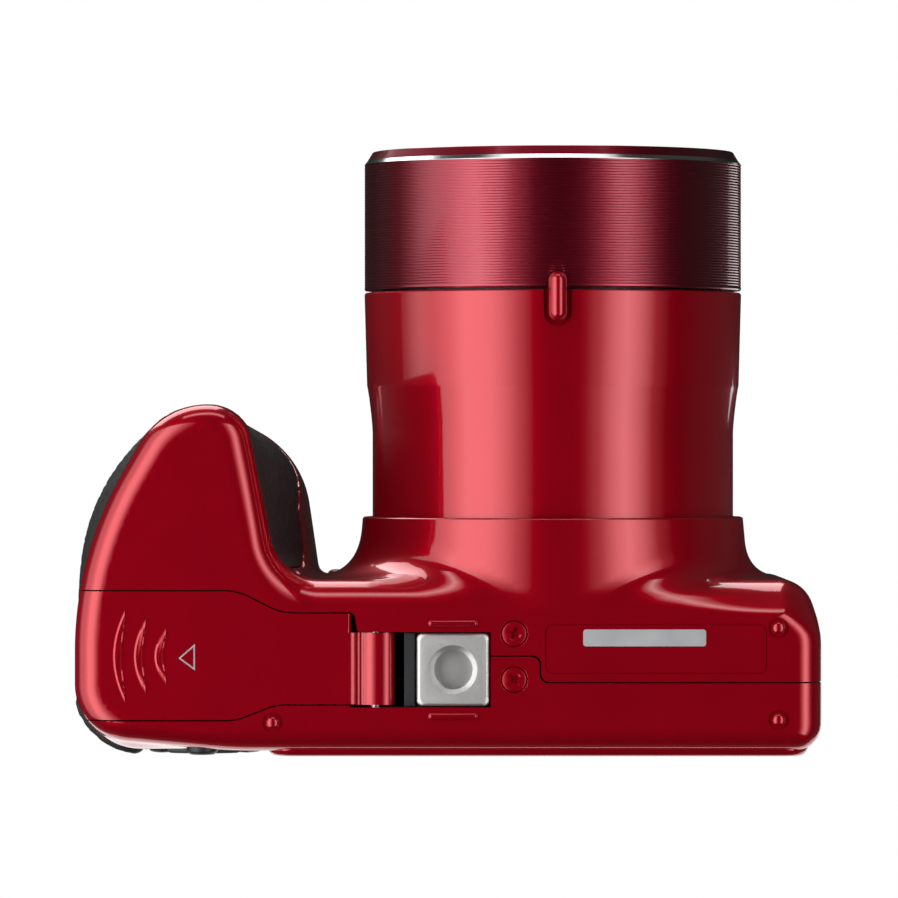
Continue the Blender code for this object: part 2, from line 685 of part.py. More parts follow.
def door_region(name, grow):
    """Plan region of the battery door, wide at the grip and necked towards its hinge."""
    corners = [(-FAR, DOOR_FRONT_Y, 0.0), (DOOR_WIDE_X, DOOR_FRONT_Y, DOOR_CURVE_R),
               (DOOR_NECK_X, DOOR_NECK_FRONT_Y, DOOR_CURVE_R), (DOOR_END_X, DOOR_NECK_FRONT_Y, 1.0 * MM),
               (DOOR_END_X, DOOR_NECK_REAR_Y, 1.0 * MM), (DOOR_NECK_X, DOOR_NECK_REAR_Y, DOOR_CURVE_R),
               (DOOR_WIDE_X, DOOR_REAR_Y, DOOR_CURVE_R), (-FAR, DOOR_REAR_Y, 0.0)]
    return prism(name, outline(offset(corners, -grow)), "Z", -FAR, DOOR_SIDE_Z + grow)


def base_slot():
    """The slot in the base where the door knuckle and the tripod plate lie."""
    low = (DOOR_END_X - GAP, PLATE_Y - PLATE_SIZE / 2 - GAP, -FAR)
    high = (PLATE_X + PLATE_SIZE / 2 + GAP, PLATE_Y + PLATE_SIZE / 2 + GAP, FLOOR_Z + WALL)
    return box("base_slot", low, high)


def screw_hole(y):
    """A counterbored hole for a base screw."""
    head = SCREW_HEAD_R + GAP
    seat = FOOT_HEIGHT + SCREW_HEAD_T + GAP
    shank = SCREW_R + GAP
    profile = [(shank, BRACKET_HIGH_Z + WALL), (shank, seat), (head, seat), (head, -WALL)]
    return turned("screw_hole", [(0.0, BRACKET_HIGH_Z + WALL), *profile, (0.0, -WALL)], CUTTERS,
                  (SCREW_X, y, 0.0), steps=12)


def foot(point):
    """A small domed foot of the base."""
    top = FOOT_HEIGHT + WALL / 2
    profile = [(0.0, top), (FOOT_R, top), (FOOT_R, FOOT_HEIGHT / 2), (FOOT_R / 2, 0.0), (0.0, 0.0)]
    return turned("foot", profile, CUTTERS, (*point, 0.0), steps=12)


def base_rib(y):
    """A low rib beside the tripod plate."""
    low = (PLATE_X - RIB_LENGTH / 2, y - RIB_WIDTH / 2, 0.0)
    high = (PLATE_X + RIB_LENGTH / 2, y + RIB_WIDTH / 2, FOOT_HEIGHT + WALL / 2)
    return box("base_rib", low, high)


def rubber_region(name, grow):
    """Side-view regions of the grip rubber, long on the flank and short on the finger side."""
    low = RUBBER_LOW_Z - grow
    high = RUBBER_HIGH_Z + grow
    split = (WAIST_NOSE_LEFT_X + WAIST_NOSE_RIGHT_X) / 2
    flank = rectangle((-FAR, low), (RUBBER_LEFT_END_Y + grow, high), RUBBER_CORNER_R)
    finger = rectangle((-FAR, low), (RUBBER_FINGER_END_Y + grow, high), RUBBER_CORNER_R)
    left = prism(name, outline(flank), "X", -FAR, split)
    right = prism(name + "_finger", outline(finger), "X", split - WALL, WAIST_ROOT_X + WALL)
    return unite(left, right)


def thumb_region(name, grow):
    """Rear-view region of the thumb rest."""
    corners = rectangle((-FAR, THUMB_LOW_Z - grow), (THUMB_EDGE_X + grow, THUMB_HIGH_Z + grow), RUBBER_CORNER_R / 2)
    return prism(name, outline(corners), "Y", THUMB_FRONT_Y - grow, FAR)


def lug_path(side):
    """The bent wire of a strap lug, as centre-line points."""
    inner = side * (HALF_WIDTH - WALL - GAP)
    bend = side * (HALF_WIDTH + LUG_REACH - LUG_WIRE_R - LUG_WIRE_R)
    outer = side * (HALF_WIDTH + LUG_REACH - LUG_WIRE_R)
    half = LUG_SPAN / 2
    return [(inner, LUG_Y, LUG_Z - half), (bend, LUG_Y, LUG_Z - half), (outer, LUG_Y, LUG_Z - half + LUG_WIRE_R),
            (outer, LUG_Y, LUG_Z + half - LUG_WIRE_R), (bend, LUG_Y, LUG_Z + half), (inner, LUG_Y, LUG_Z + half)]


def lug_holes():
    """Holes for the legs of both strap lugs."""
    holes = []
    for side in (-1, 1):
        for end in (-1, 1):
            z = LUG_Z + end * LUG_SPAN / 2
            holes.append(rod("lug_hole", LUG_WIRE_R + GAP, (side * (HALF_WIDTH - 3 * WALL), LUG_Y, z),
                             (side * FAR, LUG_Y, z), segments=12))
    return holes


def flap_pocket():
    """The recess of the terminal cover."""
    return box("flap_pocket", (HALF_WIDTH - FLAP_T - GAP, FLAP_FRONT_Y - GAP, FLAP_LOW_Z - GAP),
               (FAR, FLAP_REAR_Y + GAP, FLAP_HIGH_Z + GAP))


def flap_block():
    """The moulded block behind the terminal cover."""
    floor = HALF_WIDTH - FLAP_T - GAP - POCKET_WALL
    return box("flap_block", (floor, FLAP_FRONT_Y - GAP - POCKET_WALL / 2, FLAP_LOW_Z - FLAP_PIN_HOLD - POCKET_WALL),
               (HALF_WIDTH - WALL / 2, FLAP_REAR_Y + GAP + POCKET_WALL / 4, FLAP_HIGH_Z + FLAP_PIN_HOLD + POCKET_WALL))


def flap_hinge_point():
    """Where the terminal cover's pin stands in plan."""
    return HALF_WIDTH - FLAP_T / 2, FLAP_FRONT_Y + FLAP_T / 2


def port_box(name, grow):
    """The data connector, or the hole that it fills."""
    middle_y = (FLAP_FRONT_Y + FLAP_REAR_Y) / 2 + GAP
    middle_z = (FLAP_LOW_Z + FLAP_HIGH_Z) / 2
    face = HALF_WIDTH - FLAP_T - GAP - POCKET_WALL / 4
    low = (face - PORT_SIZE[0] - grow, middle_y - PORT_SIZE[1] / 2 - grow, middle_z - PORT_SIZE[2] / 2 - grow)
    high = (face + 4 * grow, middle_y + PORT_SIZE[1] / 2 + grow, middle_z + PORT_SIZE[2] / 2 + grow)
    return low, high


def flap_pin_hole(grow):
    x, y = flap_hinge_point()
    return (x, y, FLAP_LOW_Z - FLAP_PIN_HOLD - grow), (x, y, FLAP_HIGH_Z + FLAP_PIN_HOLD + grow)


# Shared tools
CAVITY = cut(body_loft("cavity", WALL), grip_slope(WALL))
OUTER_SLOPE = grip_slope(0.0)
ABOVE_SEAM = box("above_seam", (-FAR, -FAR, SEAM_Z - SEAM_GAP / 2), (FAR, FAR, FAR))
BELOW_SEAM = box("below_seam", (-FAR, -FAR, -FAR), (FAR, FAR, SEAM_Z + SEAM_GAP / 2))
DOOR_OPENING = door_region("door_opening", GAP)
BASE_SLOT = base_slot()


def front_cover():
    """Front half of the body with the lens collar and the lower grip."""
    cover = body_loft("front_cover", 0.0, PARTS)
    unite(cover, collar())
    cut(cover, CAVITY)
    unite(cover, flap_block())
    above = cut(box("above_front", (-FAR, -FAR, SEAM_Z - SEAM_GAP / 2), (FAR, FAR, FAR)),
                rod("collar_keep", COLLAR_KEEP_R, (LENS_X, 0.0, LENS_Z), (LENS_X, FRONT_Y, LENS_Z), segments=ROUND_STEPS))
    bore = rod("lens_bore", BORE_R, (LENS_X, 0.0, LENS_Z), (LENS_X, PARTING_STEP_Y, LENS_Z), segments=ROUND_STEPS)
    rubber = cut(rubber_region("rubber_pocket", GAP), body_loft("rubber_floor", RUBBER_T + GAP))
    cut(cover, above, bore, rear_region("behind_parting", -SEAM_GAP / 2), DOOR_OPENING, BASE_SLOT, rubber)
    unite(cover, foot(FEET[1]), base_rib(PLATE_Y - RIB_OFFSET))
    cut(cover, screw_hole(SCREW_FRONT_Y), flap_pocket(), box("port_hole", *port_box("port_hole", GAP)))
    cut(cover, rod("flap_pin_hole", FLAP_PIN_R + GAP, *flap_pin_hole(GAP), segments=12))
    cut(cover, rod("lamp_hole", LAMP_R + GAP, (LAMP_X, 0.0, LAMP_Z), (LAMP_X, FRONT_Y + 2 * WALL, LAMP_Z), segments=16))
    cut(cover, *lug_holes())
    return finish(cover, RED)


def key_sector(middle, grow, rim=0.0):
    """Outline of one direction key of the control pad, or of its hole."""
    inner = PAD_KEY_R - grow
    outer = PAD_R + grow + rim
    points = []
    for radius, turns in ((inner, (1, 0.5, 0, -0.5, -1)), (outer, (-1, -0.5, 0, 0.5, 1))):
        half = PAD_KEY_HALF_ANGLE + grow / radius
        for share in turns:
            angle = middle + half * share
            points.append(Vector((PAD_X + radius * math.cos(angle), PAD_Z + radius * math.sin(angle))))
    return points


KEY_ANGLES = {"key_up": math.pi / 2, "key_left": math.pi, "key_down": -math.pi / 2, "key_right": 0.0}


def panel_rectangle(margin):
    """Rear-view corners of the raised display panel, moved in by a margin."""
    return offset(rectangle((PANEL_LEFT_X, PANEL_LOW_Z), (PANEL_RIGHT_X, PANEL_HIGH_Z), PANEL_CORNER_R), margin)


def rear_cover():
    """Rear half of the body with the raised display panel and the holes of the controls."""
    cover = body_loft("rear_cover", 0.0, PARTS)
    foot_of_panel = outline(panel_rectangle(-PANEL_SLOPE), 3)
    face = outline(panel_rectangle(0.0), 3)
    unite(cover, stepped("display_panel", [(foot_of_panel, REAR_Y - WALL), (foot_of_panel, REAR_Y - RAISE),
                                           (face, PANEL_Y)], "Y"))
    cut(cover, CAVITY, ABOVE_SEAM)
    keep(cover, rear_region("rear_region", SEAM_GAP / 2))
    cut(cover, DOOR_OPENING, BASE_SLOT)
    unite(cover, foot(FEET[0]), foot(FEET[2]), base_rib(PLATE_Y + RIB_OFFSET))
    glass = outline(panel_rectangle(WINDOW_MARGIN - GAP), 3)
    cut(cover, prism("window_recess", glass, "Y", PANEL_Y - WINDOW_T - GAP, FAR))
    screen = outline(panel_rectangle(WINDOW_MARGIN + SCREEN_MARGIN - GAP), 3)
    cut(cover, prism("screen_opening", screen, "Y", REAR_Y - 3 * WALL, FAR))
    for x, z, radius in [*REAR_BUTTONS.values(), (PAD_X, PAD_Z, SET_R)]:
        cut(cover, rod("button_hole", radius + GAP, (x, REAR_Y - 2 * WALL, z), (x, FAR, z), segments=16))
    for angle in KEY_ANGLES.values():
        cut(cover, prism("key_hole", key_sector(angle, GAP), "Y", REAR_Y - 2 * WALL, FAR))
    thumb = cut(thumb_region("thumb_pocket", GAP), body_loft("thumb_floor", THUMB_SINK + GAP))
    cut(cover, thumb, screw_hole(SCREW_REAR_Y))
    return finish(cover, RED)


def grip_point(height):
    """A point on the shutter axis, at a height above the sloping grip top."""
    deck = DECK_Z - (GRIP_SLOPE_START_Y - SHUTTER_Y) * math.tan(GRIP_SLOPE)
    return Vector((SHUTTER_X, SHUTTER_Y, deck)) + GRIP_NORMAL * height


def speaker_holes():
    """A small round pattern of holes over the speaker."""
    spots = [(0.0, 0.0)]
    for step in range(6):
        angle = math.pi / 3 * step
        spots.append((SPEAKER_HOLE_SPREAD * math.cos(angle), SPEAKER_HOLE_SPREAD * math.sin(angle)))
    return [rod("speaker_hole", SPEAKER_HOLE_R, (SPEAKER_X + dx, SPEAKER_Y + dy, DECK_Z - 2 * WALL),
                (SPEAKER_X + dx, SPEAKER_Y + dy, FAR), segments=6) for dx, dy in spots]


def top_cover():
    """Top of the body with the fixed part of the hump."""
    cover = body_loft("top_cover", 0.0, PARTS)
    cut(cover, OUTER_SLOPE)
    unite(cover, hump_loft("hump", 0.0))
    cut(cover, CAVITY, hump_loft("hump_cavity", WALL), BELOW_SEAM, flash_region("flash_space", SEAM_GAP))
    keep_out = rod("collar_space", COLLAR_KEEP_R + GAP, (LENS_X, -FAR, LENS_Z), (LENS_X, FRONT_Y + GAP, LENS_Z),
                   segments=ROUND_STEPS)
    cut(cover, keep_out)
    unite(cover, *flash_lugs())
    cut(cover, rod("flash_pin_hole", FLASH_PIN_R + GAP, (LENS_X - FLASH_LUG_SPREAD - WALL, FLASH_HINGE_Y, FLASH_HINGE_Z),
                   (LENS_X + FLASH_LUG_SPREAD + WALL, FLASH_HINGE_Y, FLASH_HINGE_Z), segments=16))
    cut(cover, rod("power_hole", POWER_R + GAP, (POWER_X, POWER_Y, SEAM_Z), (POWER_X, POWER_Y, FAR)))
    cut(cover, rod("lever_hole", SLEEVE_OUT_R + GAP, grip_point(-4 * WALL), grip_point(4 * WALL)))
    cut(cover, *speaker_holes())
    return finish(cover, RED)


def rubber_parts():
    """Grip rubber and thumb rest, let into the covers."""
    grip = body_loft("grip_rubber", 0.0, PARTS)
    keep(grip, rubber_region("rubber_region", 0.0))
    cut(grip, body_loft("rubber_back", RUBBER_T))
    thumb = body_loft("thumb_rest", -THUMB_RISE, PARTS)
    keep(thumb, thumb_region("thumb_region", 0.0))
    cut(thumb, body_loft("thumb_back", THUMB_SINK))
    finish(grip, RUBBER)
    finish(thumb, RUBBER)


def battery_door():
    """The door, its finger ridges and its hinge knuckle."""
    door = body_loft("battery_door", 0.0, PARTS)
    keep(door, door_region("door_region", 0.0))
    cut(door, CAVITY)
    low_y = PLATE_Y - KNUCKLE_HALF
    high_y = PLATE_Y + KNUCKLE_HALF
    slant = [(DOOR_END_X, FOOT_HEIGHT), (DOOR_END_X + WALL, FOOT_HEIGHT), (DOOR_END_X + WALL, FLOOR_Z + WALL),
             (DOOR_END_X - 2 * WALL, FLOOR_Z + WALL)]
    cut(door, prism("end_slant", slant, "Y", -FAR, FAR))
    web = box("knuckle_web", (DOOR_END_X - 2 * WALL, low_y, FOOT_HEIGHT + GAP), (KNUCKLE_X, high_y, FLOOR_Z - GAP))
    barrel = rod("knuckle", KNUCKLE_R, (KNUCKLE_X, low_y, KNUCKLE_Z), (KNUCKLE_X, high_y, KNUCKLE_Z))
    unite(door, web, barrel)
    middle_y = (DOOR_FRONT_Y + DOOR_REAR_Y) / 2
    for index in range(3):
        x = -HALF_WIDTH + BASE_EDGE_R + (2.2 + 2.9 * index) * MM
        half = (6.4 - 1.2 * index) * MM
        bow = 0.9 * MM
        points = [(x, middle_y - half), (x + bow, middle_y), (x, middle_y + half), (x - bow, middle_y)]
        unite(door, prism("finger_ridge", points, "Z", FOOT_HEIGHT - RIDGE_HEIGHT, FOOT_HEIGHT + WALL / 2))
    cut(door, rod("knuckle_bore", HINGE_PIN_R + GAP, (KNUCKLE_X, 0.0, KNUCKLE_Z), (KNUCKLE_X, FAR, KNUCKLE_Z),
                  segments=16))
    finish(set_origin(door, (KNUCKLE_X, PLATE_Y, KNUCKLE_Z)), RED)


def battery_box():
    """The box for battery and card, with slotted ears for the sliding hinge pin."""
    right = KNUCKLE_X - DOOR_TRAVEL - KNUCKLE_R - GAP
    left = LEFT_X + WALL + BOX_SIDE_GAP
    battery_size = (right - left - 2 * GAP - 2 * BOX_WALL, BATTERY_THICKNESS, BATTERY_HEIGHT)
    battery_front = BOX_REAR_Y - BOX_WALL - 2 * GAP - BATTERY_THICKNESS
    card_front = battery_front - BOX_WALL - 2 * GAP - CARD_SIZE[1]
    ear_half = PLATE_SIZE / 2 + GAP
    front = min(card_front, PLATE_Y - ear_half - EAR_T) - BOX_WALL
    low = FLOOR_Z + GAP
    high = low + BATTERY_HEIGHT + 2 * GAP + BOX_WALL
    plan = [(left, front, BOX_CORNER_R), (right, front, 0.0), (right, BOX_REAR_Y, 0.0), (left, BOX_REAR_Y, BOX_CORNER_R)]
    shell = prism("battery_box", outline(plan, 3), "Z", low, high, PARTS)
    battery_low = Vector((left + BOX_WALL + GAP, battery_front + GAP, low))
    battery_high = battery_low + Vector(battery_size)
    card_left = right - BOX_WALL - 2 * GAP - CARD_SIZE[0]
    card_low = Vector((card_left + GAP, card_front + GAP, low))
    card_high = card_low + Vector(CARD_SIZE)
    room = Vector((GAP, GAP, GAP))
    cut(shell, box("battery_bay", battery_low - room * 1.0 - Vector((0, 0, WALL)), battery_high + room))
    cut(shell, box("card_bay", card_low - room - Vector((0, 0, WALL)), card_high + room))
    slot_low = KNUCKLE_X - DOOR_TRAVEL - HINGE_PIN_R - GAP
    slot_high = KNUCKLE_X + HINGE_PIN_R + GAP
    ear_high = KNUCKLE_Z + HINGE_PIN_R + GAP + BOX_WALL
    for side in (-1, 1):
        near = PLATE_Y + side * ear_half
        far = near + side * EAR_T
        ear = box("hinge_ear", (right - BOX_WALL / 2, min(near, far), low + GAP), (slot_high + BOX_WALL, max(near, far), ear_high))
        unite(shell, ear)
    cut(shell, box("hinge_slot", (slot_low, PLATE_Y - 2 * ear_half, -FAR),
                   (slot_high, PLATE_Y + 2 * ear_half, KNUCKLE_Z + HINGE_PIN_R + GAP)))
    finish(shell, BLACK)
    finish(box("battery", battery_low, battery_high, PARTS, 0.8 * MM), GREY)
    finish(box("memory_card", card_low, card_high, PARTS), BLACK)
    pin_half = ear_half + 0.75 * EAR_T
    pin = rod("door_hinge_pin", HINGE_PIN_R, (KNUCKLE_X, PLATE_Y - pin_half, KNUCKLE_Z),
              (KNUCKLE_X, PLATE_Y + pin_half, KNUCKLE_Z), PARTS, 16)
    finish(set_origin(pin, (KNUCKLE_X, PLATE_Y, KNUCKLE_Z)), STEEL)


def tripod_parts():
    """Tripod plate with its socket, the bracket above it and the base screws."""
    low = FOOT_HEIGHT - PLATE_RISE
    half = PLATE_SIZE / 2
    corners = rectangle((PLATE_X - half, PLATE_Y - half), (PLATE_X + half, PLATE_Y + half), 0.6 * MM)
    face = outline(offset(corners, 0.4 * MM), 2)
    plate = stepped("tripod_plate", [(face, low), (outline(corners, 2), low + 0.4 * MM),
                                     (outline(corners, 2), low + PLATE_T - GAP)], "Z", PARTS)
    top = low + SOCKET_DEPTH
    unite(plate, rod("socket_boss", SOCKET_BOSS_R, (PLATE_X, PLATE_Y, low + 0.5 * MM), (PLATE_X, PLATE_Y, top)))
    lip = SOCKET_MOUTH_R - SOCKET_R
    profile = [(0.0, FAR), (SOCKET_R, FAR), (SOCKET_R, low + lip), (SOCKET_MOUTH_R + lip, low - lip), (0.0, low - lip)]
    cut(plate, turned("socket_bore", profile, CUTTERS, (PLATE_X, PLATE_Y, 0.0), steps=20))
    finish(plate, NICKEL)

    near_x = KNUCKLE_X + KNUCKLE_R + 2 * GAP + BOX_WALL
    far_x = SCREW_X + SCREW_HEAD_R + GAP
    span = PLATE_SIZE / 2 + 1.5 * MM
    bracket = box("base_bracket", (near_x, PLATE_Y - span, BRACKET_LOW_Z), (far_x, PLATE_Y + span, BRACKET_HIGH_Z), PARTS)
    strip = box("bracket_strip", (near_x, PLATE_Y - half, FOOT_HEIGHT + WALL / 2),
                (PLATE_X - half - GAP, PLATE_Y + half, BRACKET_HIGH_Z - BRACKET_T / 2))
    unite(bracket, strip)
    cut(bracket, rod("boss_hole", SOCKET_BOSS_R + GAP, (PLATE_X, PLATE_Y, -FAR), (PLATE_X, PLATE_Y, FAR)))
    for y in (SCREW_FRONT_Y, SCREW_REAR_Y):
        cut(bracket, rod("thread_hole", SCREW_R + GAP, (SCREW_X, y, -FAR), (SCREW_X, y, FAR), segments=12))
    finish(bracket, BLACK)
    for name, y in (("base_screw_front", SCREW_FRONT_Y), ("base_screw_rear", SCREW_REAR_Y)):
        tip = BRACKET_HIGH_Z
        seat = FOOT_HEIGHT + SCREW_HEAD_T
        profile = [(0.0, tip), (SCREW_R, tip), (SCREW_R, seat), (SCREW_HEAD_R, seat), (SCREW_HEAD_R, FOOT_HEIGHT),
                   (0.0, FOOT_HEIGHT)]
        screw = turned(name, profile, PARTS, (SCREW_X, y, 0.0), steps=12)
        for width, length in ((0.45 * MM, 2.0 * MM), (2.0 * MM, 0.45 * MM)):
            cut(screw, box("cross_slot", (SCREW_X - width / 2, y - length / 2, -FAR),
                           (SCREW_X + width / 2, y + length / 2, FOOT_HEIGHT + SCREW_HEAD_T * 0.6)))
        finish(screw, DARK_RED)


def lens_outside():
    """Outer barrel, front ring and the rest under their joint."""
    front = BARREL_FRONT
    swell = BARREL_R + BARREL_SWELL
    inner = BARREL_R - BARREL_WALL
    rear = -(FRONT_Y - 2 * MM)
    barrel = lens_turned("lens_barrel", [
        (RING_R, front), (swell, BARREL_SWELL_END), (BARREL_R, BARREL_STRAIGHT_END), (BARREL_R, rear),
        (inner, rear), (inner, front)])
    ring_rear = LENS_FRONT - RING_LENGTH
    ring = lens_turned("lens_front_ring", [
        (RING_R - RING_CHAMFER, LENS_FRONT), (RING_R, LENS_FRONT - RING_CHAMFER_LENGTH), (RING_R, ring_rear),
        (inner, ring_rear), (inner, LENS_FRONT)])
    z = LENS_Z - RING_R
    pocket_low = (LENS_X - REST_WIDTH / 2 - GAP, -(REST_CENTRE + REST_LENGTH / 2 + GAP), -FAR)
    pocket_high = (LENS_X + REST_WIDTH / 2 + GAP, -(REST_CENTRE - REST_LENGTH / 2 - GAP), z + BARREL_WALL * 0.6)
    pocket = box("rest_pocket", pocket_low, pocket_high)
    cut(barrel, pocket)
    cut(ring, pocket)
    rest = rectangle((LENS_X - REST_WIDTH / 2, -(REST_CENTRE + REST_LENGTH / 2)),
                     (LENS_X + REST_WIDTH / 2, -(REST_CENTRE - REST_LENGTH / 2)), REST_WIDTH * 0.45)
    bump = stepped("lens_rest", [(outline(offset(rest, 0.8 * MM), 3), z - LENS_CLEARANCE), (outline(rest, 3), z - 0.6 * MM),
                                 (outline(rest, 3), z + BARREL_WALL * 0.6 - GAP)], "Z", PARTS)
    finish(bump, RED)
    finish(barrel, RED)
    finish(ring, DARK_RED)


def lens_inside():
    """Fixed tube, cam ring, moving barrels, glass and the lens groups on their rods."""
    rear = -LENS_REAR_Y
    plate = rear + LENS_PLATE_T
    front = LENS_FRONT - FRONT_RECESS
    inner = TUBE_R - TUBE_WALL
    eye = SENSOR_SIZE[2] / 2
    tube = lens_turned("lens_guide_tube", [
        (TUBE_R, front), (TUBE_R, rear), (eye, rear), (eye, plate), (inner, plate), (inner, front)])
    lip_front = front - GAP
    lip_rear = lip_front - MOVING_WALL
    cam_front = lip_rear - GAP
    cam_rear = plate + GAP
    cam_inner = CAM_RING_R - CAM_RING_WALL
    cam = lens_turned("zoom_cam_ring", [
        (CAM_RING_R, cam_front), (CAM_RING_R, cam_rear), (cam_inner, cam_rear), (cam_inner, cam_front)])
    outer_in = OUTER_MOVING_R - MOVING_WALL
    outer = lens_turned("moving_barrel_outer", [
        (CAM_RING_R, lip_front), (CAM_RING_R, lip_rear), (OUTER_MOVING_R, lip_rear),
        (OUTER_MOVING_R, lip_front - MOVING_LENGTH), (outer_in, lip_front - MOVING_LENGTH), (outer_in, lip_front)])
    inner_in = INNER_MOVING_R - MOVING_WALL
    inner_barrel = lens_turned("moving_barrel_inner", [
        (INNER_MOVING_R, lip_front), (INNER_MOVING_R, lip_front - MOVING_LENGTH),
        (inner_in, lip_front - MOVING_LENGTH), (inner_in, lip_front)])
    trim_r = inner_in - GAP
    trim_in = FRONT_LENS_R + GAP
    trim = lens_turned("lens_trim_ring", [
        (trim_r, lip_front), (trim_r, lip_front - FRONT_LENS_T), (trim_in, lip_front - FRONT_LENS_T),
        (trim_in, lip_front - 2.4 * MM), (trim_in + 2.0 * MM, lip_front - 0.4 * MM)])
    crown = 1.8 * MM
    glass_front = lip_front - 2.4 * MM
    arc = []
    for step in range(1, 4):
        share = step / 3
        arc.append((FRONT_LENS_R * share, glass_front + crown * (1 - share * share)))
    glass = lens_turned("front_lens", [(0.0, glass_front + crown), *arc, (FRONT_LENS_R, lip_front - FRONT_LENS_T),
                                       (0.0, lip_front - FRONT_LENS_T)])
    for name, forward in (("zoom_lens_group", ZOOM_GROUP_FORWARD), ("focus_lens_group", FOCUS_GROUP_FORWARD)):
        group = lens_turned(name, [(0.0, forward + 1.0 * MM), (GROUP_R * 0.6, forward), (GROUP_R, forward),
                                   (GROUP_R, forward - GROUP_T), (GROUP_R * 0.6, forward - GROUP_T),
                                   (0.0, forward - GROUP_T - 1.0 * MM)], steps=20)
        for side in (-1, 1):
            cut(group, rod("rod_hole", ROD_R + GAP, (LENS_X + side * ROD_SPREAD, -FAR, LENS_Z),
                           (LENS_X + side * ROD_SPREAD, FAR, LENS_Z), segments=12))
        finish(group, GLASS)
    for name, side in (("guide_rod_left", -1), ("guide_rod_right", 1)):
        x = LENS_X + side * ROD_SPREAD
        finish(rod(name, ROD_R, (x, LENS_REAR_Y - LENS_PLATE_T - GAP, LENS_Z), (x, -ROD_FRONT, LENS_Z), PARTS, 12), STEEL)
    for piece in (tube, cam, outer, inner_barrel, trim):
        finish(piece, BLACK)
    finish(glass, GLASS)


def flash_parts():
    """Flash head with its reflector, tube, window and hinge pin."""
    head = hump_loft("flash_head", 0.0, PARTS)
    keep(head, flash_region("head_space", 0.0))
    hollow = keep(hump_loft("head_cavity", WALL),
                  box("head_front", (-FAR, -FAR, -FAR), (FAR, FLASH_HINGE_Y - FLASH_KNUCKLE_R, FAR)))
    cut(head, hollow)
    cut(head, *lug_slots())
    pin_half = FLASH_LUG_SPREAD + FLASH_LUG_T
    bore_half = pin_half + GAP
    cut(head, rod("head_bore", FLASH_PIN_R + GAP, (LENS_X - bore_half, FLASH_HINGE_Y, FLASH_HINGE_Z),
                  (LENS_X + bore_half, FLASH_HINGE_Y, FLASH_HINGE_Z), segments=16))
    hinge = (LENS_X, FLASH_HINGE_Y, FLASH_HINGE_Z)
    finish(set_origin(head, hinge), RED)
    pin = rod("flash_hinge_pin", FLASH_PIN_R, (LENS_X - pin_half, FLASH_HINGE_Y, FLASH_HINGE_Z),
              (LENS_X + pin_half, FLASH_HINGE_Y, FLASH_HINGE_Z), PARTS, 12)
    finish(pin, STEEL)

    rear = FLASH_HINGE_Y - FLASH_KNUCKLE_R - GAP
    front = rear - FLASH_BLOCK_DEPTH
    high = HUMP_TOP_Z - WALL - GAP
    low = FLASH_BLOCK_LOW_Z
    block = box("flash_reflector", (LENS_X - FLASH_BLOCK_HALF, front, low), (LENS_X + FLASH_BLOCK_HALF, rear, high), PARTS)
    pane_high = high - FLASH_WINDOW_MARGIN
    middle = (low + pane_high) / 2
    half = (pane_high - low) / 2 - FLASH_MOUTH_EDGE
    depth = FLASH_BLOCK_DEPTH - 1.5 * BOX_WALL
    mouth = [(front - WALL, middle - half), (front + depth, middle - FLASH_TUBE_R), (front + depth, middle + FLASH_TUBE_R),
             (front - WALL, middle + half)]
    trough = prism("trough", mouth, "X", LENS_X - FLASH_BLOCK_HALF + BOX_WALL, LENS_X + FLASH_BLOCK_HALF - BOX_WALL)
    cut(block, trough)
    finish(set_origin(block, hinge), STEEL)
    tube_y = front + depth - FLASH_TUBE_R - GAP
    half = FLASH_BLOCK_HALF - BOX_WALL - GAP
    tube = rod("flash_tube", FLASH_TUBE_R, (LENS_X - half, tube_y, middle), (LENS_X + half, tube_y, middle), PARTS, 12)
    finish(set_origin(tube, hinge), WINDOW)
    pane = box("flash_window", (LENS_X - FLASH_BLOCK_HALF, front - GAP - FLASH_WINDOW_T, low),
               (LENS_X + FLASH_BLOCK_HALF, front - GAP, pane_high), PARTS)
    finish(set_origin(pane, hinge), WINDOW)


def button_profile(radius, rise, wall):
    """A button: domed cap above the wall, retaining flange below it."""
    under = -(wall + GAP)
    return [(0.0, rise), (radius - 0.5 * MM, rise - 0.1 * MM), (radius, rise - 0.5 * MM), (radius, under),
            (radius + BUTTON_FLANGE, under), (radius + BUTTON_FLANGE, under - BUTTON_FLANGE_T),
            (0.0, under - BUTTON_FLANGE_T)]


def rear_controls():
    """Round buttons, set button and the four direction keys on the back."""
    for name, (x, z, radius) in REAR_BUTTONS.items():
        finish(turned(name, button_profile(radius, BUTTON_RISE, WALL), PARTS, (x, REAR_Y, z), BACKWARD, 16), BLACK)
    profile = [(0.0, BUTTON_RISE), (SET_R - 0.4 * MM, BUTTON_RISE), (SET_R, BUTTON_RISE - 0.4 * MM),
               (SET_R, -WALL - GAP - BUTTON_FLANGE_T), (0.0, -WALL - GAP - BUTTON_FLANGE_T)]
    finish(turned("set_button", profile, PARTS, (PAD_X, REAR_Y, PAD_Z), BACKWARD, 16), BLACK)
    under = REAR_Y - WALL - GAP
    for name, angle in KEY_ANGLES.items():
        plain = key_sector(angle, 0.0)
        wide = key_sector(angle, 0.0, BUTTON_FLANGE)
        key = stepped(name, [(wide, under - BUTTON_FLANGE_T), (wide, under), (plain, under),
                             (plain, REAR_Y + BUTTON_RISE)], "Y", PARTS)
        centre = (PAD_X, REAR_Y, PAD_Z)
        finish(set_origin(key, centre), BLACK)


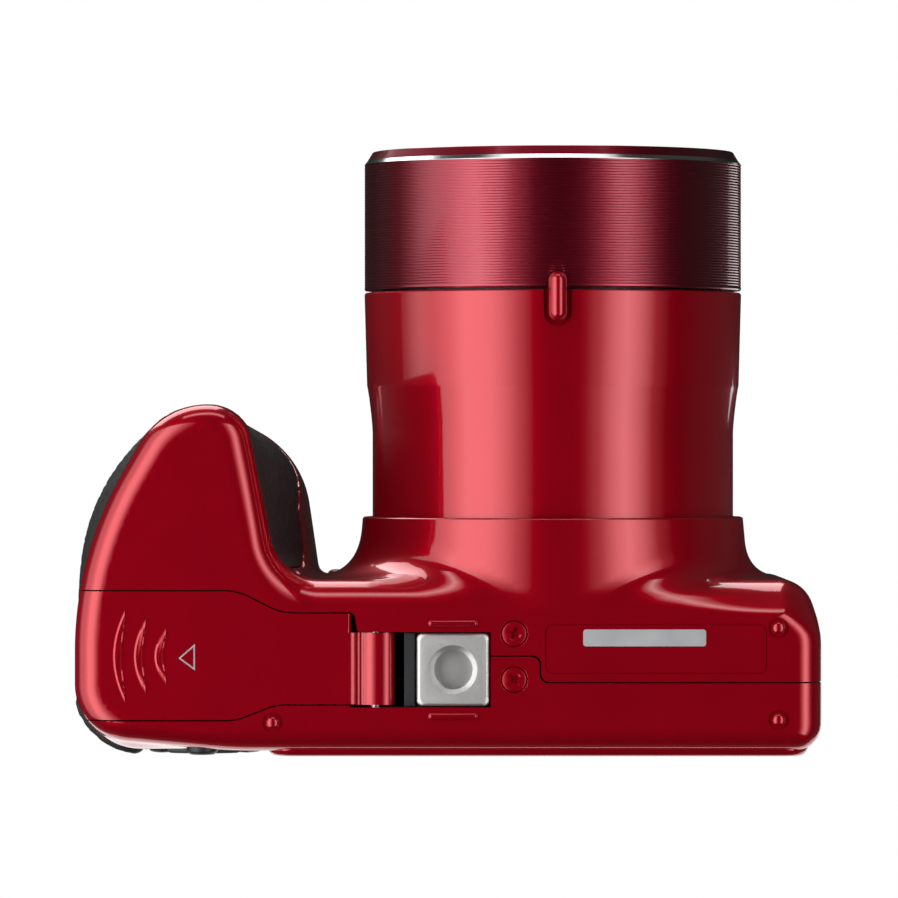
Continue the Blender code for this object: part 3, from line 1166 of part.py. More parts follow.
def display():
    """Display window and the display module behind it."""
    glass = outline(panel_rectangle(WINDOW_MARGIN), 3)
    finish(prism("display_window", glass, "Y", PANEL_Y - WINDOW_T, PANEL_Y - 0.05 * MM, PARTS), SCREEN)
    screen = outline(panel_rectangle(WINDOW_MARGIN + SCREEN_MARGIN), 3)
    rear = PANEL_Y - WINDOW_T - GAP
    finish(prism("display_module", screen, "Y", rear - SCREEN_T, rear, PARTS), GREY)


def top_controls():
    """Power button, zoom lever and shutter button."""
    profile = button_profile(POWER_R, BUTTON_RISE, WALL)
    finish(turned("power_button", profile, PARTS, (POWER_X, POWER_Y, DECK_Z), steps=20), BLACK)
    tilt = (GRIP_SLOPE, 0.0, 0.0)
    floor = GAP + LEVER_FLOOR
    bore = SHUTTER_R + GAP
    lever = turned("zoom_lever", [
        (bore, LEVER_HEIGHT), (LEVER_R - 0.5 * MM, LEVER_HEIGHT), (LEVER_R, LEVER_HEIGHT - 0.5 * MM), (LEVER_R, GAP),
        (SLEEVE_OUT_R, GAP), (SLEEVE_OUT_R, -STEM_LENGTH), (SLEEVE_IN_R, -STEM_LENGTH), (SLEEVE_IN_R, floor),
        (bore, floor)], PARTS, grip_point(0.0), tilt, 24)
    points = [(-1.6 * MM, -LEVER_R + 0.8 * MM), (-1.0 * MM, -LEVER_R - LEVER_TAB), (1.0 * MM, -LEVER_R - LEVER_TAB),
              (1.6 * MM, -LEVER_R + 0.8 * MM)]
    tab = prism("lever_tab", points, "Z", GAP * 2, LEVER_HEIGHT - 0.3 * MM)
    tab.location = grip_point(0.0)
    tab.rotation_euler = tilt
    unite(lever, tab)
    finish(lever, BLACK)
    under = floor + BUTTON_TRAVEL + GAP
    button = turned("shutter_button", [
        (0.0, SHUTTER_RISE), (SHUTTER_R - 0.8 * MM, SHUTTER_RISE - 0.2 * MM), (SHUTTER_R, SHUTTER_RISE - 0.9 * MM),
        (SHUTTER_R, under), (SHUTTER_STEM_R, under), (SHUTTER_STEM_R, -STEM_LENGTH), (0.0, -STEM_LENGTH)],
        PARTS, grip_point(0.0), tilt, 24)
    finish(button, RED)


def side_fittings():
    """Strap lugs, terminal cover with its pin, and the data connector."""
    for name, side in (("strap_lug_left", -1), ("strap_lug_right", 1)):
        curve = bpy.data.curves.new(name, "CURVE")
        curve.dimensions = "3D"
        path = lug_path(side)
        spline = curve.splines.new("POLY")
        spline.points.add(len(path) - 1)
        for point, place_at in zip(spline.points, path):
            point.co = (*place_at, 1.0)
        curve.bevel_depth = LUG_WIRE_R
        curve.bevel_resolution = 1
        curve.use_fill_caps = True
        lug = bpy.data.objects.new(name, curve)
        PARTS.objects.link(lug)
        finish(lug, STEEL)
    x, y = flap_hinge_point()
    knuckle = FLAP_T / 2
    points = outline([(x - knuckle, FLAP_REAR_Y, 0.0), (x - knuckle, y - knuckle, knuckle * 0.98),
                      (x + knuckle, y - knuckle, knuckle * 0.98), (x + knuckle, FLAP_REAR_Y, 0.0)], 4)
    flap = prism("terminal_cover", points, "Z", FLAP_LOW_Z, FLAP_HIGH_Z, PARTS)
    cut(flap, rod("flap_bore", FLAP_PIN_R + GAP, (x, y, -FAR), (x, y, FAR), segments=10))
    finish(set_origin(flap, (x, y, (FLAP_LOW_Z + FLAP_HIGH_Z) / 2)), RED)
    finish(rod("terminal_pin", FLAP_PIN_R, *flap_pin_hole(-GAP), PARTS, 10), STEEL)
    low, high = port_box("data_connector", 0.0)
    port = box("data_connector", low, high, PARTS)
    inset = Vector((PORT_WALL, PORT_WALL, PORT_WALL))
    mouth_low = Vector(low) + inset
    mouth_high = Vector(high) - inset
    mouth_high.x = FAR
    cut(port, box("port_mouth", mouth_low, mouth_high))
    finish(port, STEEL)


def small_parts():
    """Focus lamp window, sensor, board, motor, capacitor and speaker."""
    lamp = turned("focus_lamp_window", [
        (0.0, 0.4 * MM), (LAMP_R * 0.7, 0.2 * MM), (LAMP_R, -0.1 * MM), (LAMP_R, -WALL - GAP),
        (LAMP_R + 0.5 * MM, -WALL - GAP), (LAMP_R + 0.5 * MM, -WALL - 3 * GAP), (0.0, -WALL - 3 * GAP)],
        PARTS, (LAMP_X, FRONT_Y, LAMP_Z), FORWARD, 12)
    finish(lamp, ORANGE)
    half = Vector(SENSOR_SIZE) / 2
    finish(box("image_sensor", (LENS_X - half.x, SENSOR_FRONT_Y, LENS_Z - half.z),
               (LENS_X + half.x, SENSOR_FRONT_Y + SENSOR_SIZE[1], LENS_Z + half.z), PARTS), GREY)
    right = HALF_WIDTH - WALL - GAP - REAR_RIGHT_R / 2
    low = FLOOR_Z + BASE_EDGE_R
    high = SEAM_Z - WALL
    finish(box("main_board", (BOARD_LEFT_X, BOARD_FRONT_Y, low), (right, BOARD_FRONT_Y + BOARD_T, high), PARTS), GREEN)
    reach = TUBE_R + MOTOR_R + GAP
    x = LENS_X + reach * math.cos(MOTOR_ANGLE)
    z = LENS_Z + reach * math.sin(MOTOR_ANGLE)
    near = FRONT_Y + WALL + GAP
    finish(rod("zoom_motor", MOTOR_R, (x, near, z), (x, near + MOTOR_LENGTH, z), PARTS, 20), STEEL)
    grip_x = (FOOT_NOSE_LEFT_X + FOOT_NOSE_RIGHT_X) / 2
    grip_y = GRIP_FRONT_Y + WALL + RUBBER_T + CAPACITOR_R + BASE_EDGE_R
    low = FLOOR_Z + GAP
    finish(rod("flash_capacitor", CAPACITOR_R, (grip_x, grip_y, low), (grip_x, grip_y, low + CAPACITOR_LENGTH), PARTS, 20),
           BLACK)
    top = DECK_Z - WALL - GAP
    finish(rod("speaker", SPEAKER_R, (SPEAKER_X, SPEAKER_Y, top - SPEAKER_T), (SPEAKER_X, SPEAKER_Y, top), PARTS, 20), BLACK)


front_cover()
rear_cover()
top_cover()
rubber_parts()
battery_door()
battery_box()
tripod_parts()
lens_outside()
lens_inside()
flash_parts()
rear_controls()
display()
top_controls()
side_fittings()
small_parts()
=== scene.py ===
# %% [markdown]
# # A fixed-lens superzoom camera, seen from below
#
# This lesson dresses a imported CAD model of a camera: a red moulded housing with a rubber grip, a long
# zoom lens with a ribbed metal ring, and a base with a battery door and a tripod plate. Numbers are in
# millimetres and become metres when a mesh is made. The lens looks along -Y and the grip is at -X.

# %% Load the frame
import json
import math

import bpy
import numpy as np
from mathutils import Matrix, Vector

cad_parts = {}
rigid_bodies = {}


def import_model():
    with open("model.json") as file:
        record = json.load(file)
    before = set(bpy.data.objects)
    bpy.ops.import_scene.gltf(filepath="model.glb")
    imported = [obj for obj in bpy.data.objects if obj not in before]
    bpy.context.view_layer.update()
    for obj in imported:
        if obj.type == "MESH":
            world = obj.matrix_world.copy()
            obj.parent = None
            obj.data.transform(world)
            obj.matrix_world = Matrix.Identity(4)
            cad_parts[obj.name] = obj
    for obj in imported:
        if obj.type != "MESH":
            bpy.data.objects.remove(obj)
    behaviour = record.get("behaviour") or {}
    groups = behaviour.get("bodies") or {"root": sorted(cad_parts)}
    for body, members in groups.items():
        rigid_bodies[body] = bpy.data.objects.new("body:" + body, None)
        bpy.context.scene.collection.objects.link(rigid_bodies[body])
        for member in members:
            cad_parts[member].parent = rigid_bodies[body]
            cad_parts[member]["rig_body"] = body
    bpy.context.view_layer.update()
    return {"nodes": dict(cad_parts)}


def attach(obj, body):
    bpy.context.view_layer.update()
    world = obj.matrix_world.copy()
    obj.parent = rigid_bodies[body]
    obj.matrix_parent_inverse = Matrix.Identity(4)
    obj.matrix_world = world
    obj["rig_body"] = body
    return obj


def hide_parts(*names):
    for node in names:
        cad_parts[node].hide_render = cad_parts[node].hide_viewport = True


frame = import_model()
NODES = frame["nodes"]
MM = 0.001
FAR = 150.0
bpy.ops.object.select_all(action="DESELECT")

# %% [markdown]
# ## Tools
#
# A few helpers keep the steps below short: they add a primitive, extrude an outline, turn a profile on
# an axis, and apply one modifier at a time, as one would by hand.

# %% Helpers for modelling


def activate(piece):
    """Makes one object the only selected one."""
    bpy.ops.object.select_all(action="DESELECT")
    piece.select_set(True)
    bpy.context.view_layer.objects.active = piece
    return piece


def edit(piece, *steps):
    """Runs edit-mode operators on everything in a mesh."""
    activate(piece)
    bpy.ops.object.mode_set(mode="EDIT")
    bpy.ops.mesh.select_all(action="SELECT")
    for step, settings in steps:
        step(**settings)
    bpy.ops.object.mode_set(mode="OBJECT")
    return piece


def outward(piece):
    return edit(piece, (bpy.ops.mesh.normals_make_consistent, {"inside": False}))


def apply(piece, kind, **settings):
    """Adds one modifier and applies it."""
    activate(piece)
    step = piece.modifiers.new(kind, kind)
    for name, value in settings.items():
        setattr(step, name, value)
    bpy.ops.object.modifier_apply(modifier=step.name)
    return piece


def combine(piece, operation, *tools):
    """Boolean steps with tools that are used up."""
    for tool in tools:
        apply(piece, "BOOLEAN", operation=operation, object=tool, solver="MANIFOLD")
        bpy.data.objects.remove(tool)
    return piece


def cut(piece, *tools):
    return combine(piece, "DIFFERENCE", *tools)


def unite(piece, *tools):
    return combine(piece, "UNION", *tools)


def keep(piece, *tools):
    return combine(piece, "INTERSECT", *tools)


def copy(piece, name):
    """A copy with its own mesh."""
    made = piece.copy()
    made.data = piece.data.copy()
    made.name = name
    bpy.context.scene.collection.objects.link(made)
    return made


def join(name, *pieces):
    """Joins finished shapes into one object."""
    activate(pieces[0])
    for piece in pieces:
        piece.select_set(True)
    bpy.ops.object.join()
    pieces[0].name = name
    return pieces[0]


def settle_pose(piece):
    activate(piece)
    bpy.ops.object.transform_apply(location=True, rotation=True, scale=True)
    return piece


def block(name, low, high, bevel=0.0, segments=3):
    """A cube between two corners, with rounded edges where asked."""
    low = Vector(low) * MM
    high = Vector(high) * MM
    bpy.ops.mesh.primitive_cube_add(size=1.0, location=(low + high) / 2, scale=high - low)
    made = bpy.context.object
    made.name = name
    settle_pose(made)
    if bevel:
        apply(made, "BEVEL", width=bevel * MM, segments=segments, limit_method="ANGLE")
    return made


def rod(name, radius, start, end, sides=64, tip=None):
    """A cylinder or cone between two points."""
    start = Vector(start) * MM
    end = Vector(end) * MM
    turn = (end - start).to_track_quat("Z", "Y")
    bpy.ops.mesh.primitive_cone_add(vertices=sides, radius1=radius * MM,
                                    radius2=(radius if tip is None else tip) * MM,
                                    depth=(end - start).length, location=(start + end) / 2,
                                    rotation=turn.to_euler())
    made = bpy.context.object
    made.name = name
    return settle_pose(made)


def from_points(name, points, edges=(), faces=()):
    """A mesh from points in millimetres."""
    mesh = bpy.data.meshes.new(name)
    mesh.from_pydata([tuple(MM * c for c in p) for p in points], list(edges), list(faces))
    made = bpy.data.objects.new(name, mesh)
    bpy.context.scene.collection.objects.link(made)
    return made


def place(axis, point, height):
    """A plan point raised along a world axis."""
    u, v = point
    return {"X": (height, u, v), "Y": (u, height, v), "Z": (u, v, height)}[axis]


def prism(name, points, axis, low, high):
    """An outline filled as one face and extruded along an axis."""
    made = from_points(name, [place(axis, p, low) for p in points], faces=[range(len(points))])
    travel = Vector(place(axis, (0.0, 0.0), (high - low) * MM))
    edit(made, (bpy.ops.mesh.extrude_region_move, {"TRANSFORM_OT_translate": {"value": travel}}))
    return outward(made)


def turned(name, profile, origin, turn=(0.0, 0.0, 0.0), sides=96):
    """A profile of (radius, height) points turned into a solid."""
    points = [(radius, 0.0, height) for radius, height in profile]
    edges = [(i, i + 1) for i in range(len(points) - 1)]
    if profile[0][0] > 0.0:
        edges.append((len(points) - 1, 0))
    made = from_points(name, points, edges)
    apply(made, "SCREW", steps=sides, render_steps=sides, use_merge_vertices=True, merge_threshold=1e-6)
    made.rotation_euler = turn
    made.location = Vector(origin) * MM
    return outward(settle_pose(made))


def soften(piece, angle=35.0):
    activate(piece)
    bpy.ops.object.shade_smooth_by_angle(angle=math.radians(angle))
    return piece


def smooth(share):
    share = np.clip(share, 0.0, 1.0)
    return share * share * (3.0 - 2.0 * share)


def arc(centre, radius, start, end, steps=6):
    """Points along a circular arc, angles in degrees."""
    angles = [math.radians(start + (end - start) * i / steps) for i in range(steps + 1)]
    return [(centre[0] + radius * math.cos(a), centre[1] + radius * math.sin(a)) for a in angles]


def outline(corners, grow=0.0, steps=8):
    """Points of a closed outline of corners (x, y, radius), counter-clockwise, grown outwards."""
    points = []
    for i, (x, y, r) in enumerate(corners):
        here = Vector((x, y))
        into = (here - Vector(corners[i - 1][:2])).normalized()
        out = (Vector(corners[(i + 1) % len(corners)][:2]) - here).normalized()
        turn = math.atan2(into.x * out.y - into.y * out.x, into.dot(out))
        away = Vector((into.y + out.y, -into.x - out.x)) / (1.0 + into.dot(out))
        here = here + away * grow
        r = max(r + math.copysign(grow, turn), 0.02) if r else 0.0
        if r == 0.0:
            points.append(tuple(here))
            continue
        start = here - into * r * math.tan(abs(turn) / 2)
        centre = start + Vector((-into.y, into.x)) * math.copysign(r, turn)
        first = math.degrees(math.atan2(start.y - centre.y, start.x - centre.x))
        points += arc(centre, r, first, first + math.degrees(turn), steps)
    return points


def rectangle(low, high, radius=0.0):
    """Corners of a rectangle for an outline."""
    return [(low[0], low[1], radius), (high[0], low[1], radius), (high[0], high[1], radius), (low[0], high[1], radius)]


print("helpers ready")

# %% [markdown]
# ## The moulded housing
#
# The housing is injection moulded and lacquered, and its forms run into each other: the lens collar
# swoops into the base and the front face, and the grip swells out above its slim foot. Booleans of
# plain solids leave hard creases there, and a subdivided cage is hard to keep to size. So the form is
# written as a field, a number that is negative inside and positive outside, with soft unions for the
# moulded fillets, and a mesh is laid on the surface where the field is zero.

# %% Fields of the housing


def plan_corners(z):
    """Plan corners (x, y, radius) of the body at each height, from the grip's foot to its waist."""
    palm = smooth((z - 4.5) / 14.0)
    finger = smooth((z - 4.5) / 33.0)
    foot = ((-52.1, 14.2, 50.0), (-39.9, -6.75, 11.0), (-28.5, -6.75, 5.9), (-26.5, 3.0, 14.0), (-23.5, 17.7, 6.9))
    waist = ((-52.1, 6.6, 28.0), (-39.0, -6.5, 9.0), (-33.7, -6.5, 6.0), (-21.3, 0.6, 14.0), (-18.8, 17.7, 1.5))
    shares = (palm, palm, finger, finger, finger)
    grip = [[a + (b - a) * share for a, b in zip(*pair)] for share, *pair in zip(shares, foot, waist)]
    rise = smooth((z - 3.0) / 7.0)
    heel = [np.full_like(z, -52.1), 39.6 + 2.0 * rise, 8.0 + rise]
    plain = [(52.1, 41.6, 3.7), (-30.0, 41.6, 60.0), (50.0, 17.7, 5.0), (52.1, 24.3, 20.0)]
    plain = [[np.full_like(z, v) for v in corner] for corner in plain]
    return [*plain[:2], heel, *grip, *plain[2:]]


def unit(x, y):
    length = np.maximum(np.hypot(x, y), 1e-9)
    return x / length, y / length


def plan_distance(x, y, z):
    """Signed distance in plan to an outline of straight runs and corner arcs."""
    corners = plan_corners(z)
    turns = []
    for i, (cx, cy, r) in enumerate(corners):
        bx, by, _ = corners[i - 1]
        ax, ay, _ = corners[(i + 1) % len(corners)]
        ix, iy = unit(cx - bx, cy - by)
        ox, oy = unit(ax - cx, ay - cy)
        turn = np.arctan2(ix * oy - iy * ox, ix * ox + iy * oy)
        reach = r * np.tan(np.abs(turn) / 2)
        side = np.sign(turn)
        mx = cx - ix * reach - iy * side * r
        my = cy - iy * reach + ix * side * r
        turns.append((cx, cy, r, ix, iy, ox, oy, reach, side, mx, my, np.cos(turn / 2)))
    best = np.full_like(x, 1e9)
    signed = np.full_like(x, 1e9)
    for i, (cx, cy, r, ix, iy, ox, oy, reach, side, mx, my, span) in enumerate(turns):
        far = turns[(i + 1) % len(turns)]
        sx, sy = cx + ox * reach, cy + oy * reach
        length = np.hypot(far[0] - cx, far[1] - cy) - reach - far[7]
        along = np.clip((x - sx) * ox + (y - sy) * oy, 0.0, length)
        gap = np.hypot(x - sx - ox * along, y - sy - oy * along)
        beside = oy * (x - sx) - ox * (y - sy)
        nearer = gap < best
        best = np.where(nearer, gap, best)
        signed = np.where(nearer, np.copysign(gap, beside), signed)
        vx, vy = x - mx, y - my
        rho = np.hypot(vx, vy)
        ux, uy = unit(cx - mx, cy - my)
        within = vx * ux + vy * uy >= rho * span
        gap = np.abs(rho - r)
        nearer = within & (gap < best)
        best = np.where(nearer, gap, best)
        signed = np.where(nearer, (rho - r) * side, signed)
    return signed


def soft_min(a, b, reach):
    h = np.maximum(reach - np.abs(a - b), 0.0)
    return np.minimum(a, b) - h * h / (4 * reach)


def soft_max(a, b, reach):
    return -soft_min(-a, -b, reach)


def round_edge(side, end, radius):
    """Meeting of a side wall and an end face on a round edge."""
    a = side + radius
    b = end + radius
    return np.minimum(np.maximum(a, b), 0.0) + np.hypot(np.maximum(a, 0.0), np.maximum(b, 0.0)) - radius


def body(p):
    """The body with its grip, round edges and sloping grip top."""
    x, y, z = p.T
    side = plan_distance(x, y, z)
    front_share = smooth((x + 28.0) / 10.0) * smooth((26.0 - y) / 6.0)
    below = round_edge(side, 0.5 - z, 3.6 + (2.2 + 3.0 * smooth((x - 24.0) / 22.0)) * front_share)
    above = round_edge(side, z - 56.0, 3.2)
    whole = np.where(z < 28.0, below, above)
    slope = (z - 56.0 + (14.0 - y) * math.tan(math.radians(12.0))) * math.cos(math.radians(12.0))
    return soft_max(whole, slope, 2.5)


LENS_X = 15.0
LENS_Z = 29.0


def front_form(p):
    """The body with the lens collar blended into it, tightly at the base and widely at the sides."""
    x, y, z = p.T
    radius = np.hypot(x - LENS_X, z - LENS_Z)
    from_below = np.abs(np.arctan2(x - LENS_X, LENS_Z - z))
    collar = np.maximum(np.maximum(radius - 27.2 - 0.09 * (y - 9.2), 6.0 - y), y - 25.0)
    reach = 0.8 + np.where(x < LENS_X, 6.0, 4.3) * smooth((from_below - 0.1) / 0.8)
    return np.maximum(soft_min(body(p), collar, reach), 0.5 - z)


def top_form(p):
    """The body with the hump over the lens."""
    x, y, z = p.T
    share = (z - 49.5) / 19.5
    front = 8.0 + 4.5 * share
    rear = 37.5 - 9.0 * share
    qx = np.abs(x - LENS_X) - (24.0 - 9.0 * share) + 6.0
    qy = np.abs(y - (front + rear) / 2) - (rear - front) / 2 + 6.0
    side = np.hypot(np.maximum(qx, 0.0), np.maximum(qy, 0.0)) + np.minimum(np.maximum(qx, qy), 0.0) - 6.0
    hump = round_edge(side, z - 69.0, 2.5)
    return np.maximum(soft_min(body(p), hump, 2.5), 46.0 - z)


def slope_of(p, field, step=0.02):
    """Value and gradient of a field, from four samples."""
    arms = np.array(((1, 1, 1), (1, -1, -1), (-1, 1, -1), (-1, -1, 1)), float)
    samples = np.array([field(p + arm * step) for arm in arms])
    return samples.mean(0), (samples.T @ arms) / (4 * step)


def settled(p, field, rounds):
    """Points moved onto the surface of a field."""
    for _ in range(rounds):
        value, slope = slope_of(p, field)
        move = value / np.maximum((slope * slope).sum(1), 0.05)
        p = p - np.clip(move, -1.0, 1.0)[:, None] * slope
    return p


def skin(name, field, low, high, step, relax=3):
    """A mesh of quads on the surface of a field, one point in each cell that the surface crosses."""
    low = np.array(low, float)
    counts = np.ceil((np.array(high, float) - low) / step).astype(int) + 1
    axes = [low[k] + step * np.arange(counts[k]) for k in range(3)]
    across, up = np.meshgrid(axes[1], axes[2], indexing="ij")
    value = np.empty(counts)
    for i, x in enumerate(axes[0]):
        points = np.column_stack([np.full(across.size, x), across.ravel(), up.ravel()])
        value[i] = field(points).reshape(across.shape)
    inside = value < 0.0
    corners = sum(inside[i:counts[0] - 1 + i, j:counts[1] - 1 + j, k:counts[2] - 1 + k].astype(int)
                  for i in (0, 1) for j in (0, 1) for k in (0, 1))
    active = (corners > 0) & (corners < 8)
    index = np.full(active.shape, -1)
    index[active] = np.arange(active.sum())
    points = low + (np.argwhere(active) + 0.5) * step
    quads = []
    for axis in range(3):
        b, c = (axis + 1) % 3, (axis + 2) % 3
        near = np.take(inside, range(counts[axis] - 1), axis)
        far = np.take(inside, range(1, counts[axis]), axis)
        for leaving in (True, False):
            spots = np.argwhere((near & ~far) if leaving else (far & ~near))
            ring = []
            for db, dc in ((1, 1), (0, 1), (0, 0), (1, 0)):
                cell = spots.copy()
                cell[:, b] -= db
                cell[:, c] -= dc
                ring.append(index[tuple(cell.T)])
            quads.append(np.column_stack(ring if leaving else ring[::-1]))
    quads = np.concatenate(quads)
    points = settled(points, field, 5)
    pairs = np.concatenate([quads[:, [i, (i + 1) % 4]] for i in range(4)])
    degree = np.bincount(pairs[:, 0], minlength=len(points))[:, None]
    for _ in range(relax):
        total = np.zeros_like(points)
        np.add.at(total, pairs[:, 0], points[pairs[:, 1]])
        points = settled(0.5 * points + 0.5 * total / degree, field, 2)
    points = settled(points, field, 3)
    made = from_points(name, points.tolist(), faces=quads.tolist())
    print(name, len(points), "points")
    return made


def polish(piece, field, limit=0.02):
    """Smooth normals taken from the field wherever a cut piece still lies on its skin."""
    soften(piece, 30.0)
    mesh = piece.data
    spots = np.empty(3 * len(mesh.vertices))
    mesh.vertices.foreach_get("co", spots)
    value, slope = slope_of(spots.reshape(-1, 3) / MM, field)
    length = np.maximum(np.linalg.norm(slope, axis=1), 1e-9)
    slope /= length[:, None]
    owner = np.empty(len(mesh.loops), int)
    mesh.loops.foreach_get("vertex_index", owner)
    totals = np.empty(len(mesh.polygons), int)
    mesh.polygons.foreach_get("loop_total", totals)
    flat = np.empty(3 * len(mesh.polygons))
    mesh.polygons.foreach_get("normal", flat)
    flat = np.repeat(flat.reshape(-1, 3), totals, axis=0)
    lies_on = (np.abs(value) / length < limit)[owner] & ((slope[owner] * flat).sum(1) > 0.75)
    normals = np.where(lies_on[:, None], slope[owner], 0.0)
    mesh.normals_split_custom_set(normals.tolist())
    return piece


SHELL = skin("front_cover_skin", front_form, (-54.0, -8.0, -1.0), (54.0, 44.0, 60.0), 0.8)
ROOF = skin("top_cover_skin", top_form, (-54.0, -8.0, 44.0), (54.0, 44.0, 70.5), 0.8)
CAVITY = skin("cavity", lambda p: body(p) + 1.8, (-54.0, -8.0, -1.0), (54.0, 44.0, 58.0), 2.0, 1)
HUMP_CAVITY = skin("hump_cavity", lambda p: top_form(p) + 1.8, (-54.0, -8.0, 44.0), (54.0, 44.0, 70.5), 2.0, 1)

# %% [markdown]
# ## Covers
#
# The real housing comes apart in a front cover, a rear cover and a top cover, and their joints show as
# hairlines. Each cover is cut from the same skin, so that the lacquer runs on across the joint, and the
# joint is a true gap. Cutting a finished skin is quicker and truer here than modelling each cover by
# itself, because the parting line steps through curved surfaces.

# %% Shared cutters
SEAM = 0.2
SEAM_Z = 49.5
REAR_SIDE = [(-FAR, 28.3, 0.0), (12.85, 28.3, 1.1), (12.85, 32.0, 1.3), (FAR, 32.0, 0.0), (FAR, FAR, 0.0), (-FAR, FAR, 0.0)]
DOOR = [(-FAR, 19.3, 0.0), (-29.3, 19.3, 8.0), (-23.3, 22.4, 8.0), (-13.2, 22.4, 0.7),
        (-12.85, 24.7, 0.3), (-12.6, 25.2, 0.2), (-12.6, 35.0, 0.3), (-24.0, 35.0, 8.0), (-29.5, 37.2, 8.0), (-FAR, 37.2, 0.0)]
PLATE = (0.7, 30.2)
FEET = ((-24.4, 37.6), (46.0, 24.4), (46.0, 37.2))
SCREWS = {"base_screw_front": (9.2, 25.2), "base_screw_rear": (9.2, 31.6)}
LABEL = rectangle((13.6, 23.9), (44.3, 30.7), 1.0)
PAD = (-34.4, 19.5)
BUTTONS = {"movie_button": (-30.0, 42.8, 2.6), "playback_button": (-29.8, 33.0, 2.2),
           "wireless_button": (-39.2, 33.0, 2.2), "menu_button": (-34.4, 6.9, 2.2)}


def rear_side(grow):
    return prism("rear_side", outline(REAR_SIDE, grow), "Z", -FAR, FAR)


def door_space(grow):
    return prism("door_space", outline(DOOR, grow, 12), "Z", -FAR, 6.0 + grow)


def base_slot():
    return block("base_slot", (-13.7, 24.95, -5.0), (5.95, 35.45, 4.1))


def lens_rod(radius, near, far, sides=160):
    return rod("lens_rod", radius, (LENS_X, near, LENS_Z), (LENS_X, far, LENS_Z), sides)


def forward(name, profile, sides=160):
    """A piece turned about the lens axis, heights counted forward from Y = 0."""
    return turned(name, profile, (LENS_X, 0.0, LENS_Z), (math.radians(90.0), 0.0, 0.0), sides)


def screw_well(spot):
    """The counterbore of a base screw, with a small chamfer at its mouth."""
    profile = [(0.0, 6.0), (1.0, 6.0), (1.0, 1.45), (1.86, 1.45), (1.86, 0.62), (2.16, 0.3), (2.16, -2.0), (0.0, -2.0)]
    return turned("screw_well", profile, (*spot, 0.0), sides=40)


def foot_ring(spot):
    """The ring groove round a foot of the base."""
    profile = [(1.42, 0.3), (1.42, 0.72), (1.12, 0.72), (1.12, 0.3)]
    return turned("foot_ring", profile, (*spot, 0.0), sides=40)


def corner_field(a, b, radius):
    """Field of a region bounded by two fields that meet in a round corner."""
    a = a + radius
    b = b + radius
    return np.hypot(np.maximum(a, 0.0), np.maximum(b, 0.0)) + np.minimum(np.maximum(a, b), 0.0) - radius


def rubber_space(p):
    """Side-view field of the grip rubber, long on the flank and sloping down on the finger side."""
    x, y, z = p.T
    flank = x < -31.95
    end = np.where(flank, 22.5, 16.2)
    low = 4.9 + np.where(flank, 2.6, 0.0) * smooth((y - 2.0) / 15.0)
    high = 43.0 - np.where(flank, 0.0, 16.0) * smooth((y + 5.0) / 15.0)
    return corner_field(y - end, np.maximum(low - z, z - high), 4.0)


def thumb_space(p):
    """Field of the thumb rest, a bar on the back that widens down the flank."""
    x, y, z = p.T
    bar = corner_field(x + 35.5, 37.5 - z, 2.5)
    strip = corner_field(x + 43.4, 18.0 - z, 2.5)
    back = corner_field(soft_min(bar, strip, 5.0), z - 48.2, 2.5)
    return np.maximum(back, corner_field(31.0 - y, np.maximum(18.0 - z, z - 48.2), 2.5))


def pocket(name, space, depth, low, high):
    """The sunk seat of a rubber piece, as a tool that stands out of the skin."""
    def form(p):
        sunk = body(p)
        return np.maximum(space(p) - 0.1, np.maximum(-depth - sunk, sunk - 1.0))
    return skin(name, form, low, high, 0.8, 1)


# %% Front cover
front = copy(SHELL, "front_shell")
cut(front, copy(CAVITY, "cavity_front"))
unite(front, block("terminal_block", (49.1, 22.9, 12.4), (51.2, 31.85, 35.6)))
above = cut(block("above", (-FAR, -FAR, SEAM_Z - SEAM / 2), (FAR, FAR, FAR)), lens_rod(27.6, 0.0, 17.7))
rim = [(0.0, 20.0), (30.0, 20.0), (30.0, -9.7), (27.33, -9.7), *arc((26.75, -9.7), 0.55, 0, 90), (0.0, -9.15)]
cut(front, above, forward("rim", rim), lens_rod(26.1, 0.0, 33.0), rear_side(SEAM / 2), door_space(SEAM), base_slot())
cut(front, pocket("rubber_pocket", rubber_space, 1.1, (-56.0, -10.0, 3.0), (-14.0, 24.0, 45.0)))
cut(front, screw_well(SCREWS["base_screw_front"]), foot_ring(FEET[1]))
frame_groove = prism("frame_groove", outline(LABEL, 0.08), "Z", -2.0, 0.62)
cut(front, cut(frame_groove, prism("frame_inside", outline(LABEL, -0.08), "Z", -3.0, 1.0)))
cut(front, block("flap_pocket", (50.1, 23.5, 14.8), (60.0, 31.5, 33.2)))
cut(front, block("port_hole", (40.0, 25.6, 19.9), (60.0, 29.8, 28.1)))
cut(front, rod("lamp_hole", 1.45, (-16.3, 0.0, 45.6), (-16.3, 21.3, 45.6)))
for side in (-1, 1):
    for z in (41.5, 46.5):
        cut(front, rod("lug_hole", 0.8, (side * 46.7, 25.9, z), (side * 60.0, 25.9, z), 24))
polish(front, front_form)
print("front cover:", len(front.data.polygons), "faces")

# %% Rear cover
PANEL = rectangle((-24.2, 3.6), (49.4, 48.4), 2.5)
PANEL_EDGE = ((1.0, 39.8), (1.0, 40.9), (0.93, 41.4), (0.74, 41.82), (0.42, 42.16), (0.0, 42.36), (-0.5, 42.4))
KEYS = {"key_up": 90.0, "key_left": 180.0, "key_down": -90.0, "key_right": 0.0}


def loft(name, rings, axis):
    """A closed solid through outlines of equal count, given as (points, height) along an axis."""
    points = [place(axis, p, height) for ring, height in rings for p in ring]
    count = len(rings[0][0])
    faces = [range(count), range(len(points) - count, len(points))]
    for start in range(0, len(points) - count, count):
        for i in range(count):
            j = (i + 1) % count
            faces.append((start + i, start + j, start + count + j, start + count + i))
    return outward(from_points(name, points, faces=faces))


